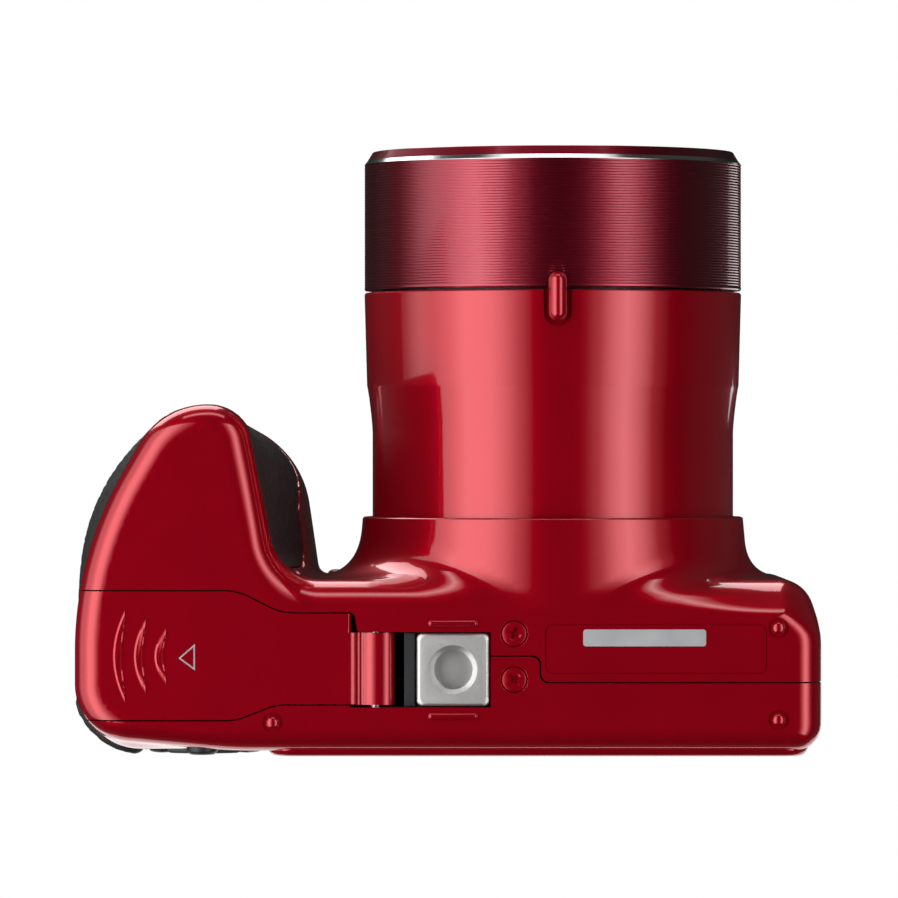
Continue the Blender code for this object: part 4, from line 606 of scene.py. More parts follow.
def backward(name, profile, x, z, sides=64):
    """A piece turned about an axis out of the back, heights counted from the rear face."""
    return turned(name, profile, (x, 41.6, z), (math.radians(-90.0), 0.0, 0.0), sides)


def round_hole(x, z, radius):
    """A button's hole with a chamfered mouth."""
    profile = [(0.0, 0.6), (radius + 1.05, 0.6), (radius + 0.15, -0.3), (radius + 0.15, -4.0), (0.0, -4.0)]
    return backward("round_hole", profile, x, z)


def sector(middle, grow, rim=0.0):
    """Outline of one direction key of the control pad."""
    inner = 4.7 - grow
    outer = 8.0 + grow + rim
    turn_in = 40.0 + math.degrees(grow / inner)
    turn_out = 40.0 + math.degrees(grow / outer)
    return arc(PAD, outer, middle - turn_out, middle + turn_out, 16) + arc(PAD, inner, middle + turn_in, middle - turn_in, 12)


rear = copy(SHELL, "rear_shell")
unite(rear, loft("display_panel", [(outline(PANEL, grow), y) for grow, y in PANEL_EDGE], "Y"))
cut(rear, copy(CAVITY, "cavity_rear"), block("above", (-FAR, -FAR, SEAM_Z - SEAM / 2), (FAR, FAR, FAR)))
keep(rear, rear_side(-SEAM / 2))
cut(rear, door_space(SEAM), base_slot(), screw_well(SCREWS["base_screw_rear"]), foot_ring(FEET[0]), foot_ring(FEET[2]))
cut(rear, prism("window_recess", outline(PANEL, -2.25), "Y", 41.2, FAR))
cut(rear, prism("screen_opening", outline(PANEL, -5.8), "Y", 36.0, FAR))
for x, z, radius in [*BUTTONS.values(), (*PAD, 3.5)]:
    cut(rear, round_hole(x, z, radius))
for angle in KEYS.values():
    cut(rear, prism("key_hole", sector(angle, 0.15), "Y", 37.0, FAR))
cut(rear, pocket("thumb_pocket", thumb_space, 1.0, (-56.0, 29.0, 16.0), (-33.0, 46.0, 51.0)))
polish(rear, body)
print("rear cover:", len(rear.data.polygons), "faces")

# %% Top cover and flash head
GRIP_TILT = math.radians(12.0)
SHUTTER = Vector((-34.5, 3.0, 53.662))
GRIP_UP = Vector((0.0, -math.sin(GRIP_TILT), math.cos(GRIP_TILT)))
POWER = (-31.0, 26.5)


def flash_space(grow):
    """The hump above the split with the round of the flash hinge."""
    space = block("flash_space", (-FAR, -FAR, 60.5 - grow), (FAR, 25.5, FAR))
    return unite(space, rod("flash_knuckle", 3.0 + grow, (-FAR, 25.5, 66.0), (FAR, 25.5, 66.0), 72))


def flash_lug(side, grow, top):
    """One of the two lugs that carry the flash hinge pin, or the slot round it."""
    low = 15.0 + side * 7.0 - 1.0 - grow
    high = 15.0 + side * 7.0 + 1.0 + grow
    lug = rod("flash_lug", 1.9 + grow, (low, 25.5, 66.0), (high, 25.5, 66.0), 48)
    return unite(lug, block("lug_stem", (low, 24.5 - grow, 56.9), (high, 26.5 + (FAR if grow else 0.0), top)))


top = copy(ROOF, "top_shell")
cut(top, copy(CAVITY, "cavity_top"), copy(HUMP_CAVITY, "hump_cavity_top"))
cut(top, block("below", (-FAR, -FAR, -FAR), (FAR, FAR, SEAM_Z + SEAM / 2)), flash_space(SEAM), lens_rod(27.75, -FAR, 17.9))
for side in (-1, 1):
    unite(top, flash_lug(side, 0.0, 66.0), block("lug_arm", (14.0 + side * 7.0, 25.5, 58.4), (16.0 + side * 7.0, 31.5, 60.2)))
cut(top, rod("pin_hole", 0.95, (5.0, 25.5, 66.0), (25.0, 25.5, 66.0), 32))
cut(top, rod("power_hole", 3.55, (*POWER, 45.0), (*POWER, 60.0)))
cut(top, rod("lever_hole", 4.15, SHUTTER - GRIP_UP * 7.0, SHUTTER + GRIP_UP * 7.0))
for i in range(7):
    x, y = (44.5, 27.5) if i == 6 else arc((44.5, 27.5), 1.9, 60.0 * i, 60.0 * i, 1)[0]
    cut(top, rod("speaker_hole", 0.5, (x, y, 50.0), (x, y, 60.0), 24))
polish(top, top_form)

head = keep(copy(ROOF, "flash_head_shell"), flash_space(0.0))
hollow = keep(copy(HUMP_CAVITY, "head_hollow"), block("head_front", (-FAR, -FAR, -FAR), (FAR, 22.5, FAR)))
cut(head, hollow, flash_lug(-1, 0.3, 66.0), flash_lug(1, 0.3, 66.0))
cut(head, rod("head_bore", 0.95, (5.7, 25.5, 66.0), (24.3, 25.5, 66.0), 32))
polish(head, top_form)
print("top cover:", len(top.data.polygons), "faces, flash head:", len(head.data.polygons))

# %% [markdown]
# ## Battery door
#
# The door is a piece of the same moulding that slides outward and swings on a pin. It is cut from the
# shared skin, so its face follows the base, and its finger ridges are raised crescents, lofted between
# two outlines. The arrow is a plain one, cut a tenth of a millimetre deep and laid in with thin light grey
# lines, a painted highlight for the light that its embossed edges catch.

# %% Battery door
door = keep(copy(SHELL, "door_shell"), door_space(0.0))
cut(door, copy(CAVITY, "cavity_door"))
slant = [(-14.0, -0.5), (-14.0, 0.42), (-13.5, 0.53), (-13.1, 0.68), (-12.82, 0.9), (-12.66, 1.15), (-12.61, 1.5),
         (-15.6, 4.1), (-5.0, 4.1), (-5.0, -0.5)]
cut(door, prism("end_slant", slant, "Y", -FAR, FAR))
corner_slant = [(-14.2, -0.5), (-14.2, 0.42), (-13.98, 0.48), (-13.77, 0.58), (-13.62, 0.75), (-13.53, 1.0),
                (-13.47, 1.35), (-15.6, 4.1), (-5.0, 4.1), (-5.0, -0.5)]
cut(door, prism("corner_slant", corner_slant, "Y", -FAR, 25.05))
knuckle = [(-15.5, 1.2), (-12.9, 1.2), (-12.6, 1.5), (-12.35, 1.65), (-12.1, 1.68), (-11.8, 1.56), (-11.4, 1.28),
           (-10.9, 1.0), (-10.4, 0.86), (-9.8, 0.8), (-9.2, 0.83), (-8.7, 0.95), (-8.2, 1.2), (-7.8, 1.55),
           (-7.5, 2.0), (-7.4, 2.6), (-7.5, 3.3), (-7.9, 4.2), (-8.7, 5.2), (-10.2, 5.85), (-11.6, 5.4),
           (-12.45, 4.3), (-12.6, 3.0), (-12.85, 2.2), (-15.5, 2.2)]
unite(door, prism("knuckle", knuckle, "Y", 25.05, 35.1))
cut(door, rod("knuckle_bore", 0.85, (-10.2, 0.0, 3.35), (-10.2, FAR, 3.35), 32))


def crescent(x, half, left, right, steps=14):
    """A crescent outline with pointed ends, bowed towards -X."""
    spread = [-1.0 + 2.0 * i / steps for i in range(steps + 1)]
    points = [(x - right * (1.0 - t * t), 28.35 + half * t) for t in spread]
    return points + [(x - left * (1.0 - t * t), 28.35 + half * t) for t in spread[-2:0:-1]]


for x, half in ((-44.9, 6.6), (-42.0, 5.4), (-39.15, 4.2)):
    foot = crescent(x, half, 1.75, 0.15)
    crest = crescent(x - 0.1, half - 1.0, 1.3, 0.5)
    unite(door, loft("finger_ridge", [(foot, 1.4), (foot, 0.49), (crest, 0.25)], "Z"))
ARROW = [(-37.5, 28.6, 0.0), (-35.2, 26.6, 0.0), (-35.2, 30.3, 0.0)]
cut(door, prism("arrow_seat", outline(ARROW, 0.02), "Z", -2.0, 0.64))
unite(door, prism("arrow_middle", outline(ARROW, -0.22), "Z", 0.5, 1.2))
# Thin light grey lines of the arrow: a painted highlight, standing in for the light caught by its embossed edges.
arrow = prism("door_arrow_highlight", outline(ARROW), "Z", 0.49, 0.62)
cut(arrow, prism("arrow_inside", outline(ARROW, -0.2), "Z", -1.0, 2.0))
polish(door, body)
print("battery door:", len(door.data.polygons), "faces")

# %% [markdown]
# ## Rubber
#
# The grip wears a sheet of grained rubber let into the housing, and the thumb rest is a raised rubber
# pad. Both are soft mouldings that follow the body, so they are skins of the same field on a finer
# grid, pushed in and out by a cell pattern for the leather grain.

# %% Grip rubber and thumb rest
GRAIN = np.random.default_rng(7).random((4096, 3))


def grain(p, size):
    """Distance to the nearest of one jittered spot per cell, in cell units."""
    q = p / size
    home = np.floor(q).astype(int)
    best = np.full(len(p), 9.0)
    for i in (-1, 0, 1):
        for j in (-1, 0, 1):
            for k in (-1, 0, 1):
                cell = home + (i, j, k)
                key = (cell[:, 0] * 73 + cell[:, 1] * 179 + cell[:, 2] * 283) % 4096
                gap = cell + GRAIN[key] - q
                best = np.minimum(best, (gap * gap).sum(1))
    return np.sqrt(best)


def rubber_form(p):
    depth = body(p)
    sheet = np.maximum(depth - 0.02, -1.0 - depth)
    return soft_max(sheet, rubber_space(p), 0.5)


def thumb_form(p):
    depth = body(p)
    rise = 1.25 * smooth((p[:, 1] - 31.5) / 5.0)
    return np.maximum(round_edge(thumb_space(p), depth - rise, 0.9), -0.9 - depth)


def grained(piece, depth, size):
    """Pushes the outer face of a rubber piece in between its grain cells."""
    mesh = piece.data
    spots = np.empty(3 * len(mesh.vertices))
    mesh.vertices.foreach_get("co", spots)
    p = spots.reshape(-1, 3) / MM
    value, slope = slope_of(p, body)
    slope /= np.maximum(np.linalg.norm(slope, axis=1), 1e-9)[:, None]
    sunk = depth * smooth((grain(p, size) - 0.25) / 0.45) * smooth((value + 0.3) / 0.25)
    mesh.vertices.foreach_set("co", ((p - slope * sunk[:, None]) * MM).ravel())
    mesh.update()
    return soften(piece, 50.0)


grip = grained(skin("grip_sheet", rubber_form, (-53.4, -8.0, 3.7), (-16.0, 24.0, 44.2), 0.4, 1), 0.12, 1.0)
thumb = grained(skin("thumb_pad", thumb_form, (-54.6, 30.0, 16.9), (-34.5, 44.0, 49.2), 0.4, 1), 0.1, 1.0)

# %% [markdown]
# ## Lens
#
# The lens is all turned work: a lacquered barrel that swells towards the front, a metal ring with fine
# lathe grooves and a polished chamfer, and black inner barrels that slide out of each other. Each is a
# profile of radius and distance along the axis, turned by the screw modifier, which is how such parts
# come off a lathe. Spinning a finer profile costs little and keeps the rims truly round.

# %% Barrel, front ring and rest
barrel_profile = [(26.75, 22.8), (26.95, 22.6), (26.95, 22.3), (26.6, 9.6), (26.5, 9.1), (26.3, 7.9), (26.0, 5.4),
                  (25.86, 3.9), (25.8, 2.8), (25.8, -15.7), (24.3, -15.7), (24.3, 22.8)]
barrel = forward("barrel", barrel_profile, 192)
ring_profile = [(24.3, 42.9), (25.72, 42.9), (25.82, 42.84), (26.52, 41.68), (26.4, 41.5), (26.7, 41.08), (26.95, 41.04)]
groove = 40.95
while groove > 23.75:
    ring_profile += [(26.95, groove), (26.89, groove - 0.13), (26.89, groove - 0.17), (26.95, groove - 0.3)]
    groove -= 0.38
ring_profile += [(26.95, 23.3), (26.85, 23.12), (24.3, 23.12)]
ring = forward("front_ring", ring_profile, 192)
facet = forward("ring_facet", [(26.53, 41.66), (26.95, 41.13), (26.93, 41.07), (26.73, 41.1), (26.43, 41.5)], 192)


def capsule(half, steps=12):
    """Plan outline of the rest, round at both ends."""
    return arc((15.3, -24.0), half, 180, 360, steps) + arc((15.3, -19.6), half, 0, 180, steps)


cut(barrel, prism("rest_groove", capsule(1.95), "Z", -2.0, 2.75))
cut(ring, prism("rest_seat", capsule(1.45), "Z", -2.0, 2.95))
dome = [(1.3 * math.cos(math.radians(a)), 1.6 - 1.6 * math.sin(math.radians(a))) for a in (0, 12, 25, 38, 50, 62, 73, 84)]
rest = soften(loft("rest", [(capsule(half), z) for half, z in [(1.3, 2.9), *dome]], "Z"), 40.0)
soften(barrel, 25.0)
soften(ring, 12.0)
soften(facet, 25.0)
print("barrel, ring and rest:", len(barrel.data.polygons), len(ring.data.polygons), len(rest.data.polygons))

# %% Inner barrels and front glass
tube = forward("guide_tube", [(22.9, 41.1), (23.1, 41.3), (23.8, 41.3), (24.0, 41.1), (24.0, -32.0), (5.0, -32.0),
                              (5.0, -30.0), (22.9, -30.0)], 128)


def ribbed(radius, high, low, pitch, depth):
    """Profile points of fine ribs along a barrel."""
    points = []
    while high - pitch > low:
        points += [(radius, high), (radius, high - pitch * 0.5), (radius - depth, high - pitch * 0.6),
                   (radius - depth, high - pitch * 0.9)]
        high -= pitch
    return points


outer_barrel = forward("barrel_outer", [(20.1, 41.0), (22.4, 41.0), (22.6, 40.8), (22.6, 39.8), (21.1, 39.8),
                                        *ribbed(21.1, 38.9, 36.0, 0.7, 0.12), (21.1, 1.0), (19.9, 1.0), (19.9, 40.8)], 128)
inner_barrel = forward("barrel_inner", [(18.6, 41.0), (19.4, 41.0), (19.6, 40.8), *ribbed(19.6, 39.6, 36.0, 0.7, 0.12),
                                        (19.6, 1.0), (18.4, 1.0), (18.4, 40.8)], 128)
steps = [(18.1 - 0.42 * i, 41.0 - 0.32 * i) for i in range(7)]
trim_profile = []
for radius, height in steps:
    trim_profile += [(radius, height), (radius - 0.3, height), (radius - 0.36, height - 0.26)]
trim = forward("trim_ring", [(18.1, 35.5), (18.1, 40.9), *trim_profile, (15.1, 38.6), (15.1, 35.5)], 128)
dome = [(14.8 * i / 14, 38.6 + 1.8 * (1.0 - (i / 14) ** 2)) for i in range(15)]
glass = forward("front_glass", [*dome, (14.8, 35.5), *[(14.8 * i / 7, 35.5 + 1.2 * (1.0 - (i / 7) ** 2)) for i in range(6, -1, -1)]], 128)
for piece in (tube, outer_barrel, inner_barrel, trim, glass):
    soften(piece, 25.0)
print("inner barrels and glass ready")

# %% [markdown]
# ## Base fittings
#
# The base carries a bead-blasted metal plate with the tripod socket, two cross-head screws, two low
# ribs beside the plate, three round feet and a framed place for a label, which stays plain here.

# %% Tripod plate, screws, ribs, feet and label
half = 5.05
corners = rectangle((PLATE[0] - half, PLATE[1] - half), (PLATE[0] + half, PLATE[1] + half), 0.75)
layers = [(-0.42, 0.4), (-0.3, 0.44), (-0.1, 0.62), (0.0, 0.85), (0.0, 2.3)]
plate = loft("plate", [(outline(corners, grow), z) for grow, z in layers], "Z")
unite(plate, rod("socket_boss", 4.2, (*PLATE, 1.0), (*PLATE, 6.0), 96))
thread = [(2.75 + (0.22 if i % 2 else 0.0), 0.95 + 0.4 * i) for i in range(6)]
bore = [(0.0, 3.3), (2.65, 3.3), *reversed(thread), (3.0, 0.76), (3.2, 0.58), (3.38, 0.44), (3.5, 0.3), (3.5, -1.0),
        (0.0, -1.0)]
cut(plate, turned("socket_bore", bore, (*PLATE, 0.0), sides=96))
soften(plate, 25.0)


def screw(spot, turn):
    """A flat cross-head screw with a chamfered rim."""
    profile = [(0.0, 4.2), (0.8, 4.2), (0.8, 1.2), (1.75, 1.2), (1.75, 0.72), (1.62, 0.56), (1.5, 0.52), (0.0, 0.5)]
    made = turned("screw", profile, (*spot, 0.0), sides=64)
    for angle in (turn, turn + 90.0):
        x, y = (math.cos(math.radians(angle)), math.sin(math.radians(angle)))
        ends = [(spot[0] + x * a - y * b, spot[1] + y * a + x * b) for a, b in ((-1, -0.22), (1, -0.22), (1, 0.22), (-1, 0.22))]
        tips = [(spot[0] + x * a - y * b, spot[1] + y * a + x * b) for a, b in ((-0.5, -0.2), (0.5, -0.2), (0.5, 0.2), (-0.5, 0.2))]
        cut(made, loft("cross_slot", [(ends, 0.2), (ends, 0.55), (tips, 1.0)], "Z"))
    return soften(made, 25.0)


screws = {name: screw(spot, turn) for (name, spot), turn in zip(SCREWS.items(), (22.0, 51.0))}


def rib(y):
    """A low rib with a round back."""
    rings = []
    for a in (0, 15, 30, 45, 60, 75, 86):
        r = 0.5 * math.cos(math.radians(a))
        points = arc((-2.3, y), r, 90, 270, 10) + arc((3.7, y), r, -90, 90, 10)
        rings.append((points, 0.6 - 0.6 * math.sin(math.radians(a))))
    return soften(loft("rib", [(rings[0][0], 0.9), *rings], "Z"), 50.0)


def foot(spot):
    """A small domed foot."""
    profile = [(0.0, 0.9), (0.85, 0.9), (0.85, 0.5), *[(0.85 * math.cos(a), 0.5 - 0.5 * math.sin(a)) for a in
                                                      (math.radians(d) for d in (15, 30, 45, 60, 75))], (0.0, 0.0)]
    return soften(turned("foot", profile, (*spot, 0.0), sides=40), 50.0)


fittings = join("base_ribs_and_feet", rib(23.75), rib(36.65), *[foot(spot) for spot in FEET])
label = prism("label_bar", outline(rectangle((18.8, 24.6), (35.9, 26.95), 0.4)), "Z", 0.46, 0.75)
print("base fittings ready")

# %% [markdown]
# ## Controls, display and small fittings
#
# Buttons are turned caps with rounded rims, and the direction keys are sectors of a ring, rounded by
# lofting a slightly smaller outline on top. The zoom lever is a turned ring with a finger tab.

# %% Buttons and keys
BUTTON_EDGE = ((0.0, 0.1), (0.14, 0.34), (0.36, 0.54), (0.62, 0.66))


def button(name, x, z, radius):
    """A round button with a soft rim, a shallow dish and a flange behind the wall."""
    profile = [(0.0, 0.56), (radius * 0.45, 0.6), (radius - 0.85, 0.68), *[(radius - a, b) for a, b in reversed(BUTTON_EDGE)],
               (radius, -2.1), (radius + 0.7, -2.1), (radius + 0.7, -2.8), (0.0, -2.8)]
    return soften(backward(name, profile, x, z), 35.0)


buttons = {name: button(name + "_cap", *spot) for name, spot in BUTTONS.items()}
profile = [(0.0, 0.74), (1.6, 0.78), (2.6, 0.8), (3.0, 0.76), (3.3, 0.62), (3.46, 0.4), (3.5, 0.2), (3.5, -2.8), (0.0, -2.8)]
buttons["set_button"] = soften(backward("set_cap", profile, *PAD), 35.0)
for name, angle in KEYS.items():
    rings = [(sector(angle, 0.0, 0.7), 38.8), (sector(angle, 0.0, 0.7), 39.5), (sector(angle, 0.0), 39.5),
             (sector(angle, 0.0), 41.9), (sector(angle, -0.06), 42.1), (sector(angle, -0.2), 42.27), (sector(angle, -0.42), 42.36)]
    buttons[name] = soften(loft(name + "_cap", rings, "Y"), 30.0)
profile = [(0.0, 0.6), (1.5, 0.62), (2.5, 0.7), (2.9, 0.72), (3.15, 0.64), (3.32, 0.46), (3.4, 0.2), (3.4, -2.1), (4.1, -2.1),
           (4.1, -2.8), (0.0, -2.8)]
buttons["power_button"] = soften(turned("power_cap", profile, (*POWER, 56.0), sides=72), 35.0)
print("buttons:", ", ".join(buttons))

# %% Zoom lever and shutter button
tilt = (GRIP_TILT, 0.0, 0.0)
lever_profile = [(5.1, 2.9), (5.25, 3.1), (5.5, 3.2), (7.1, 3.2)]
lever_profile += [*arc((7.42, 2.7), 0.48, 80, 20, 3), (7.9, 2.4), (7.9, 0.55), (7.65, 0.3), (4.0, 0.3), (4.0, -3.6), (2.9, -3.6), (2.9, 1.2), (5.1, 1.2)]
lever = turned("lever", lever_profile, SHUTTER, tilt, 120)
tab_low = [(-2.3, -7.2, 0.0), (-1.35, -9.55, 0.9), (1.35, -9.55, 0.9), (2.3, -7.2, 0.0)]
tab_rings = [(outline(tab_low, grow), z) for grow, z in ((-0.25, 0.6), (0.0, 0.85), (0.0, 2.4), (-0.12, 2.65), (-0.4, 2.85))]
tab = loft("tab", tab_rings, "Z")
tab.location = SHUTTER * MM
tab.rotation_euler = tilt
unite(lever, settle_pose(tab))
soften(lever, 30.0)
profile = [(0.0, 3.82), (1.6, 3.86), (2.8, 4.0), (3.5, 4.14), (3.95, 4.2), (4.3, 4.12), (4.58, 3.9), (4.74, 3.6), (4.8, 3.2),
           (4.8, 1.9), (2.6, 1.9), (2.6, -3.6), (0.0, -3.6)]
shutter = soften(turned("shutter_cap", profile, SHUTTER, tilt, 96), 35.0)
print("lever and shutter button ready")

# %% Display window, strap lugs, terminal cover, lamp and flash window
window = loft("window", [(outline(PANEL, grow), y) for grow, y in ((-2.4, 41.3), (-2.4, 42.22), (-2.52, 42.34), (-2.75, 42.37))], "Y")
soften(window, 30.0)


def wire(name, path, radius):
    """A bent round wire, swept with a bevelled curve and closed at its ends."""
    curve = bpy.data.curves.new(name, "CURVE")
    curve.dimensions = "3D"
    spline = curve.splines.new("POLY")
    spline.points.add(len(path) - 1)
    for point, spot in zip(spline.points, path):
        point.co = (*(Vector(spot) * MM), 1.0)
    curve.bevel_depth = radius * MM
    curve.bevel_resolution = 5
    curve.use_fill_caps = True
    made = bpy.data.objects.new(name, curve)
    bpy.context.scene.collection.objects.link(made)
    activate(made)
    bpy.ops.object.convert(target="MESH")
    return soften(outward(bpy.context.object), 50.0)


lugs = {}
for side, name in ((-1, "strap_lug_left"), (1, "strap_lug_right")):
    bend = [(x, z) for x, z in arc((51.95, 42.75), 1.25, -90, 0, 8) + arc((51.95, 45.25), 1.25, 0, 90, 8)]
    path = [(side * x, 25.9, z) for x, z in [(50.0, 41.5), *bend, (50.0, 46.5)]]
    lugs[name] = wire(name + "_wire", path, 0.65)
flap_plan = outline([(50.4, 31.3, 0.0), (50.4, 23.7, 0.83), (52.1, 23.7, 0.83), (52.1, 31.3, 0.25)], 0.0, 10)
flap = prism("flap", flap_plan, "Z", 15.0, 33.0)
cut(flap, rod("flap_bore", 0.5, (51.25, 24.55, 0.0), (51.25, 24.55, 50.0), 24), rod("nail_notch", 3.0, (53.9, 30.9, 21.0), (53.9, 30.9, 27.0)))
soften(flap, 30.0)
profile = [(0.0, -16.98), (0.5, -17.02), (0.95, -17.2), (1.2, -17.5), (1.3, -17.9), (1.3, -19.8), (1.8, -19.8), (1.8, -20.4), (0.0, -20.4)]
lamp = soften(turned("lamp", profile, (-16.3, 0.0, 45.6), (math.radians(90.0), 0.0, 0.0), 48), 35.0)
flash_pane = block("flash_pane", (4.5, 15.2, 58.2), (25.5, 15.9, 65.0))
for i in range(20):
    x = 5.0 + 20.0 * (i + 0.5) / 20
    unite(flash_pane, rod("flash_rib", 0.42, (x, 15.25, 58.6), (x, 15.25, 64.6), 12))
soften(flash_pane, 30.0)
print("small fittings ready")

# %% [markdown]
# ## Materials
#
# The housing is a red metallic lacquer under a clear coat: metal flakes tint the broad highlight red and
# the coat adds a crisp white one. The lens ring is anodised metal, the grip is matt rubber, and the rest
# is moulded plastic, glass and steel. Each look is built of nodes on object coordinates, in metres.

# %% Node helpers


def start(name):
    """Empties a frame material and gives it one Principled shader."""
    tree = bpy.data.materials[name].node_tree
    tree.nodes.clear()
    shader = tree.nodes.new("ShaderNodeBsdfPrincipled")
    output = tree.nodes.new("ShaderNodeOutputMaterial")
    tree.links.new(shader.outputs["BSDF"], output.inputs["Surface"])
    return tree, shader


def node(tree, kind, inputs=None, **settings):
    """Adds one node, sets it up and links its inputs."""
    made = tree.nodes.new("ShaderNode" + kind)
    for name, value in settings.items():
        setattr(made, name, value)
    for name, value in (inputs or {}).items():
        if isinstance(value, bpy.types.NodeSocket):
            tree.links.new(value, made.inputs[name])
        else:
            made.inputs[name].default_value = value
    return made


def place_of(tree):
    return node(tree, "TexCoord").outputs["Object"]


def noise(tree, size, detail=2.0, stretch=(1.0, 1.0, 1.0)):
    """Noise with a feature size in millimetres."""
    spot = node(tree, "Mapping", {"Vector": place_of(tree), "Scale": stretch}).outputs["Vector"]
    return node(tree, "TexNoise", {"Vector": spot, "Scale": 1.0 / (size * MM), "Detail": detail}).outputs["Fac"]


def spread(tree, value, low, high):
    """A value between 0.3 and 0.7 spread over a new range."""
    return node(tree, "MapRange", {"Value": value, "From Min": 0.3, "From Max": 0.7, "To Min": low, "To Max": high}).outputs[0]


def tint(tree, value, dark, light):
    """A colour between two others."""
    made = node(tree, "Mix", data_type="RGBA")
    tree.links.new(value, made.inputs[0])
    made.inputs[6].default_value = (*dark, 1.0)
    made.inputs[7].default_value = (*light, 1.0)
    return made.outputs[2]


def bump(tree, value, depth):
    """A bump of a depth in millimetres."""
    return node(tree, "Bump", {"Height": value, "Strength": 1.0, "Distance": depth * MM}).outputs["Normal"]


def finish(tree, shader, links=None, **values):
    """Links sockets and sets the constant ones."""
    for name, socket in (links or {}).items():
        tree.links.new(socket, shader.inputs[name])
    for name, value in values.items():
        shader.inputs[name.replace("_", " ").title().replace("Ior", "IOR")].default_value = value


# %% Lacquer and anodised metal
tree, shader = start("red_lacquer")
flakes = noise(tree, 0.12, 1.0)
clouds = noise(tree, 9.0, 3.0)
finish(tree, shader, {"Base Color": tint(tree, spread(tree, flakes, 0.0, 1.0), (0.33, 0.0006, 0.008), (0.38, 0.0009, 0.011)),
                      "Roughness": spread(tree, clouds, 0.3, 0.34)},
       metallic=0.6, specular_ior_level=0.0, coat_weight=1.0, coat_roughness=0.06, coat_ior=1.55)

tree, shader = start("dark_red_anodised")
lathe = noise(tree, 0.6, 2.0, (1.0, 40.0, 1.0))
finish(tree, shader, {"Base Color": tint(tree, spread(tree, lathe, 0.0, 1.0), (0.25, 0.007, 0.022), (0.3, 0.01, 0.03)),
                      "Roughness": spread(tree, lathe, 0.28, 0.36)}, metallic=1.0, coat_weight=1.0, coat_roughness=0.12)

# %% Rubber, plastics and metals
tree, shader = start("black_rubber")
fine = noise(tree, 0.25, 3.0)
finish(tree, shader, {"Base Color": tint(tree, spread(tree, noise(tree, 6.0), 0.0, 1.0), (0.006, 0.006, 0.0063), (0.01, 0.01, 0.0105)),
                      "Roughness": spread(tree, fine, 0.55, 0.72), "Normal": bump(tree, fine, 0.04)}, specular_ior_level=0.4)

tree, shader = start("black_plastic")
fine = noise(tree, 0.16, 2.0)
finish(tree, shader, {"Base Color": tint(tree, spread(tree, noise(tree, 4.0), 0.0, 1.0), (0.014, 0.014, 0.016), (0.02, 0.02, 0.022)),
                      "Roughness": spread(tree, fine, 0.36, 0.5), "Normal": bump(tree, fine, 0.006)})

tree, shader = start("grey_plastic")
fine = noise(tree, 0.2, 2.0)
finish(tree, shader, {"Base Color": tint(tree, spread(tree, noise(tree, 5.0), 0.0, 1.0), (0.27, 0.275, 0.28), (0.33, 0.335, 0.34)),
                      "Roughness": spread(tree, fine, 0.4, 0.55), "Normal": bump(tree, fine, 0.006)})

tree, shader = start("steel")
brushed = noise(tree, 0.3, 3.0, (1.0, 1.0, 12.0))
finish(tree, shader, {"Base Color": tint(tree, spread(tree, brushed, 0.0, 1.0), (0.56, 0.56, 0.57), (0.68, 0.68, 0.68)),
                      "Roughness": spread(tree, brushed, 0.13, 0.2)}, metallic=1.0)

tree, shader = start("blasted_nickel")
beads = noise(tree, 0.11, 2.0)
finish(tree, shader, {"Base Color": tint(tree, spread(tree, beads, 0.0, 1.0), (0.55, 0.545, 0.53), (0.66, 0.655, 0.64)),
                      "Roughness": spread(tree, beads, 0.42, 0.52), "Normal": bump(tree, beads, 0.008)}, metallic=1.0)

# %% Glass, screen, board and windows
tree, shader = start("lens_glass")
dust = noise(tree, 0.4, 2.0)
finish(tree, shader, {"Roughness": spread(tree, dust, 0.0, 0.02)}, base_color=(0.9, 0.92, 0.97, 1.0), ior=1.52,
       transmission_weight=1.0, thin_film_thickness=420.0, thin_film_ior=1.35)

tree, shader = start("screen")
cell = node(tree, "TexBrick", {"Vector": place_of(tree), "Scale": 900.0, "Mortar Size": 0.02, "Color1": (0.012, 0.013, 0.016, 1.0),
                               "Color2": (0.014, 0.015, 0.018, 1.0), "Mortar": (0.006, 0.006, 0.008, 1.0)}).outputs["Color"]
finish(tree, shader, {"Base Color": cell, "Roughness": spread(tree, noise(tree, 3.0), 0.06, 0.11)}, coat_weight=0.5, coat_roughness=0.03)

tree, shader = start("circuit_board")
tracks = node(tree, "TexBrick", {"Vector": place_of(tree), "Scale": 180.0, "Mortar Size": 0.08, "Color1": (0.012, 0.09, 0.04, 1.0),
                                 "Color2": (0.016, 0.12, 0.05, 1.0), "Mortar": (0.04, 0.22, 0.09, 1.0)}).outputs["Color"]
finish(tree, shader, {"Base Color": tracks, "Roughness": spread(tree, noise(tree, 1.0), 0.35, 0.5)})

tree, shader = start("clear_window")
finish(tree, shader, {"Roughness": spread(tree, noise(tree, 0.8), 0.05, 0.14)}, base_color=(0.93, 0.93, 0.9, 1.0), ior=1.49,
       transmission_weight=0.9)

tree, shader = start("lamp_window")
finish(tree, shader, {"Base Color": tint(tree, spread(tree, noise(tree, 0.6), 0.0, 1.0), (0.75, 0.22, 0.03), (0.9, 0.34, 0.06)),
                      "Roughness": spread(tree, noise(tree, 0.3), 0.08, 0.16)}, ior=1.49, transmission_weight=0.7)
print("materials ready")

# %% [markdown]
# ## Dressing the frame
#
# Each finished piece takes its finish, stands for the CAD nodes that it replaces and rides on their body,
# so that it moves with the joints.

# %% Dress


def dress(piece, slot, *nodes, on="front_cover"):
    """Gives a piece its finish, its place in the frame and its body."""
    piece.data.materials.clear()
    piece.data.materials.append(bpy.data.materials[slot])
    if nodes:
        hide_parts(*nodes)
    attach(piece, NODES[nodes[0] if nodes else on]["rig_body"])


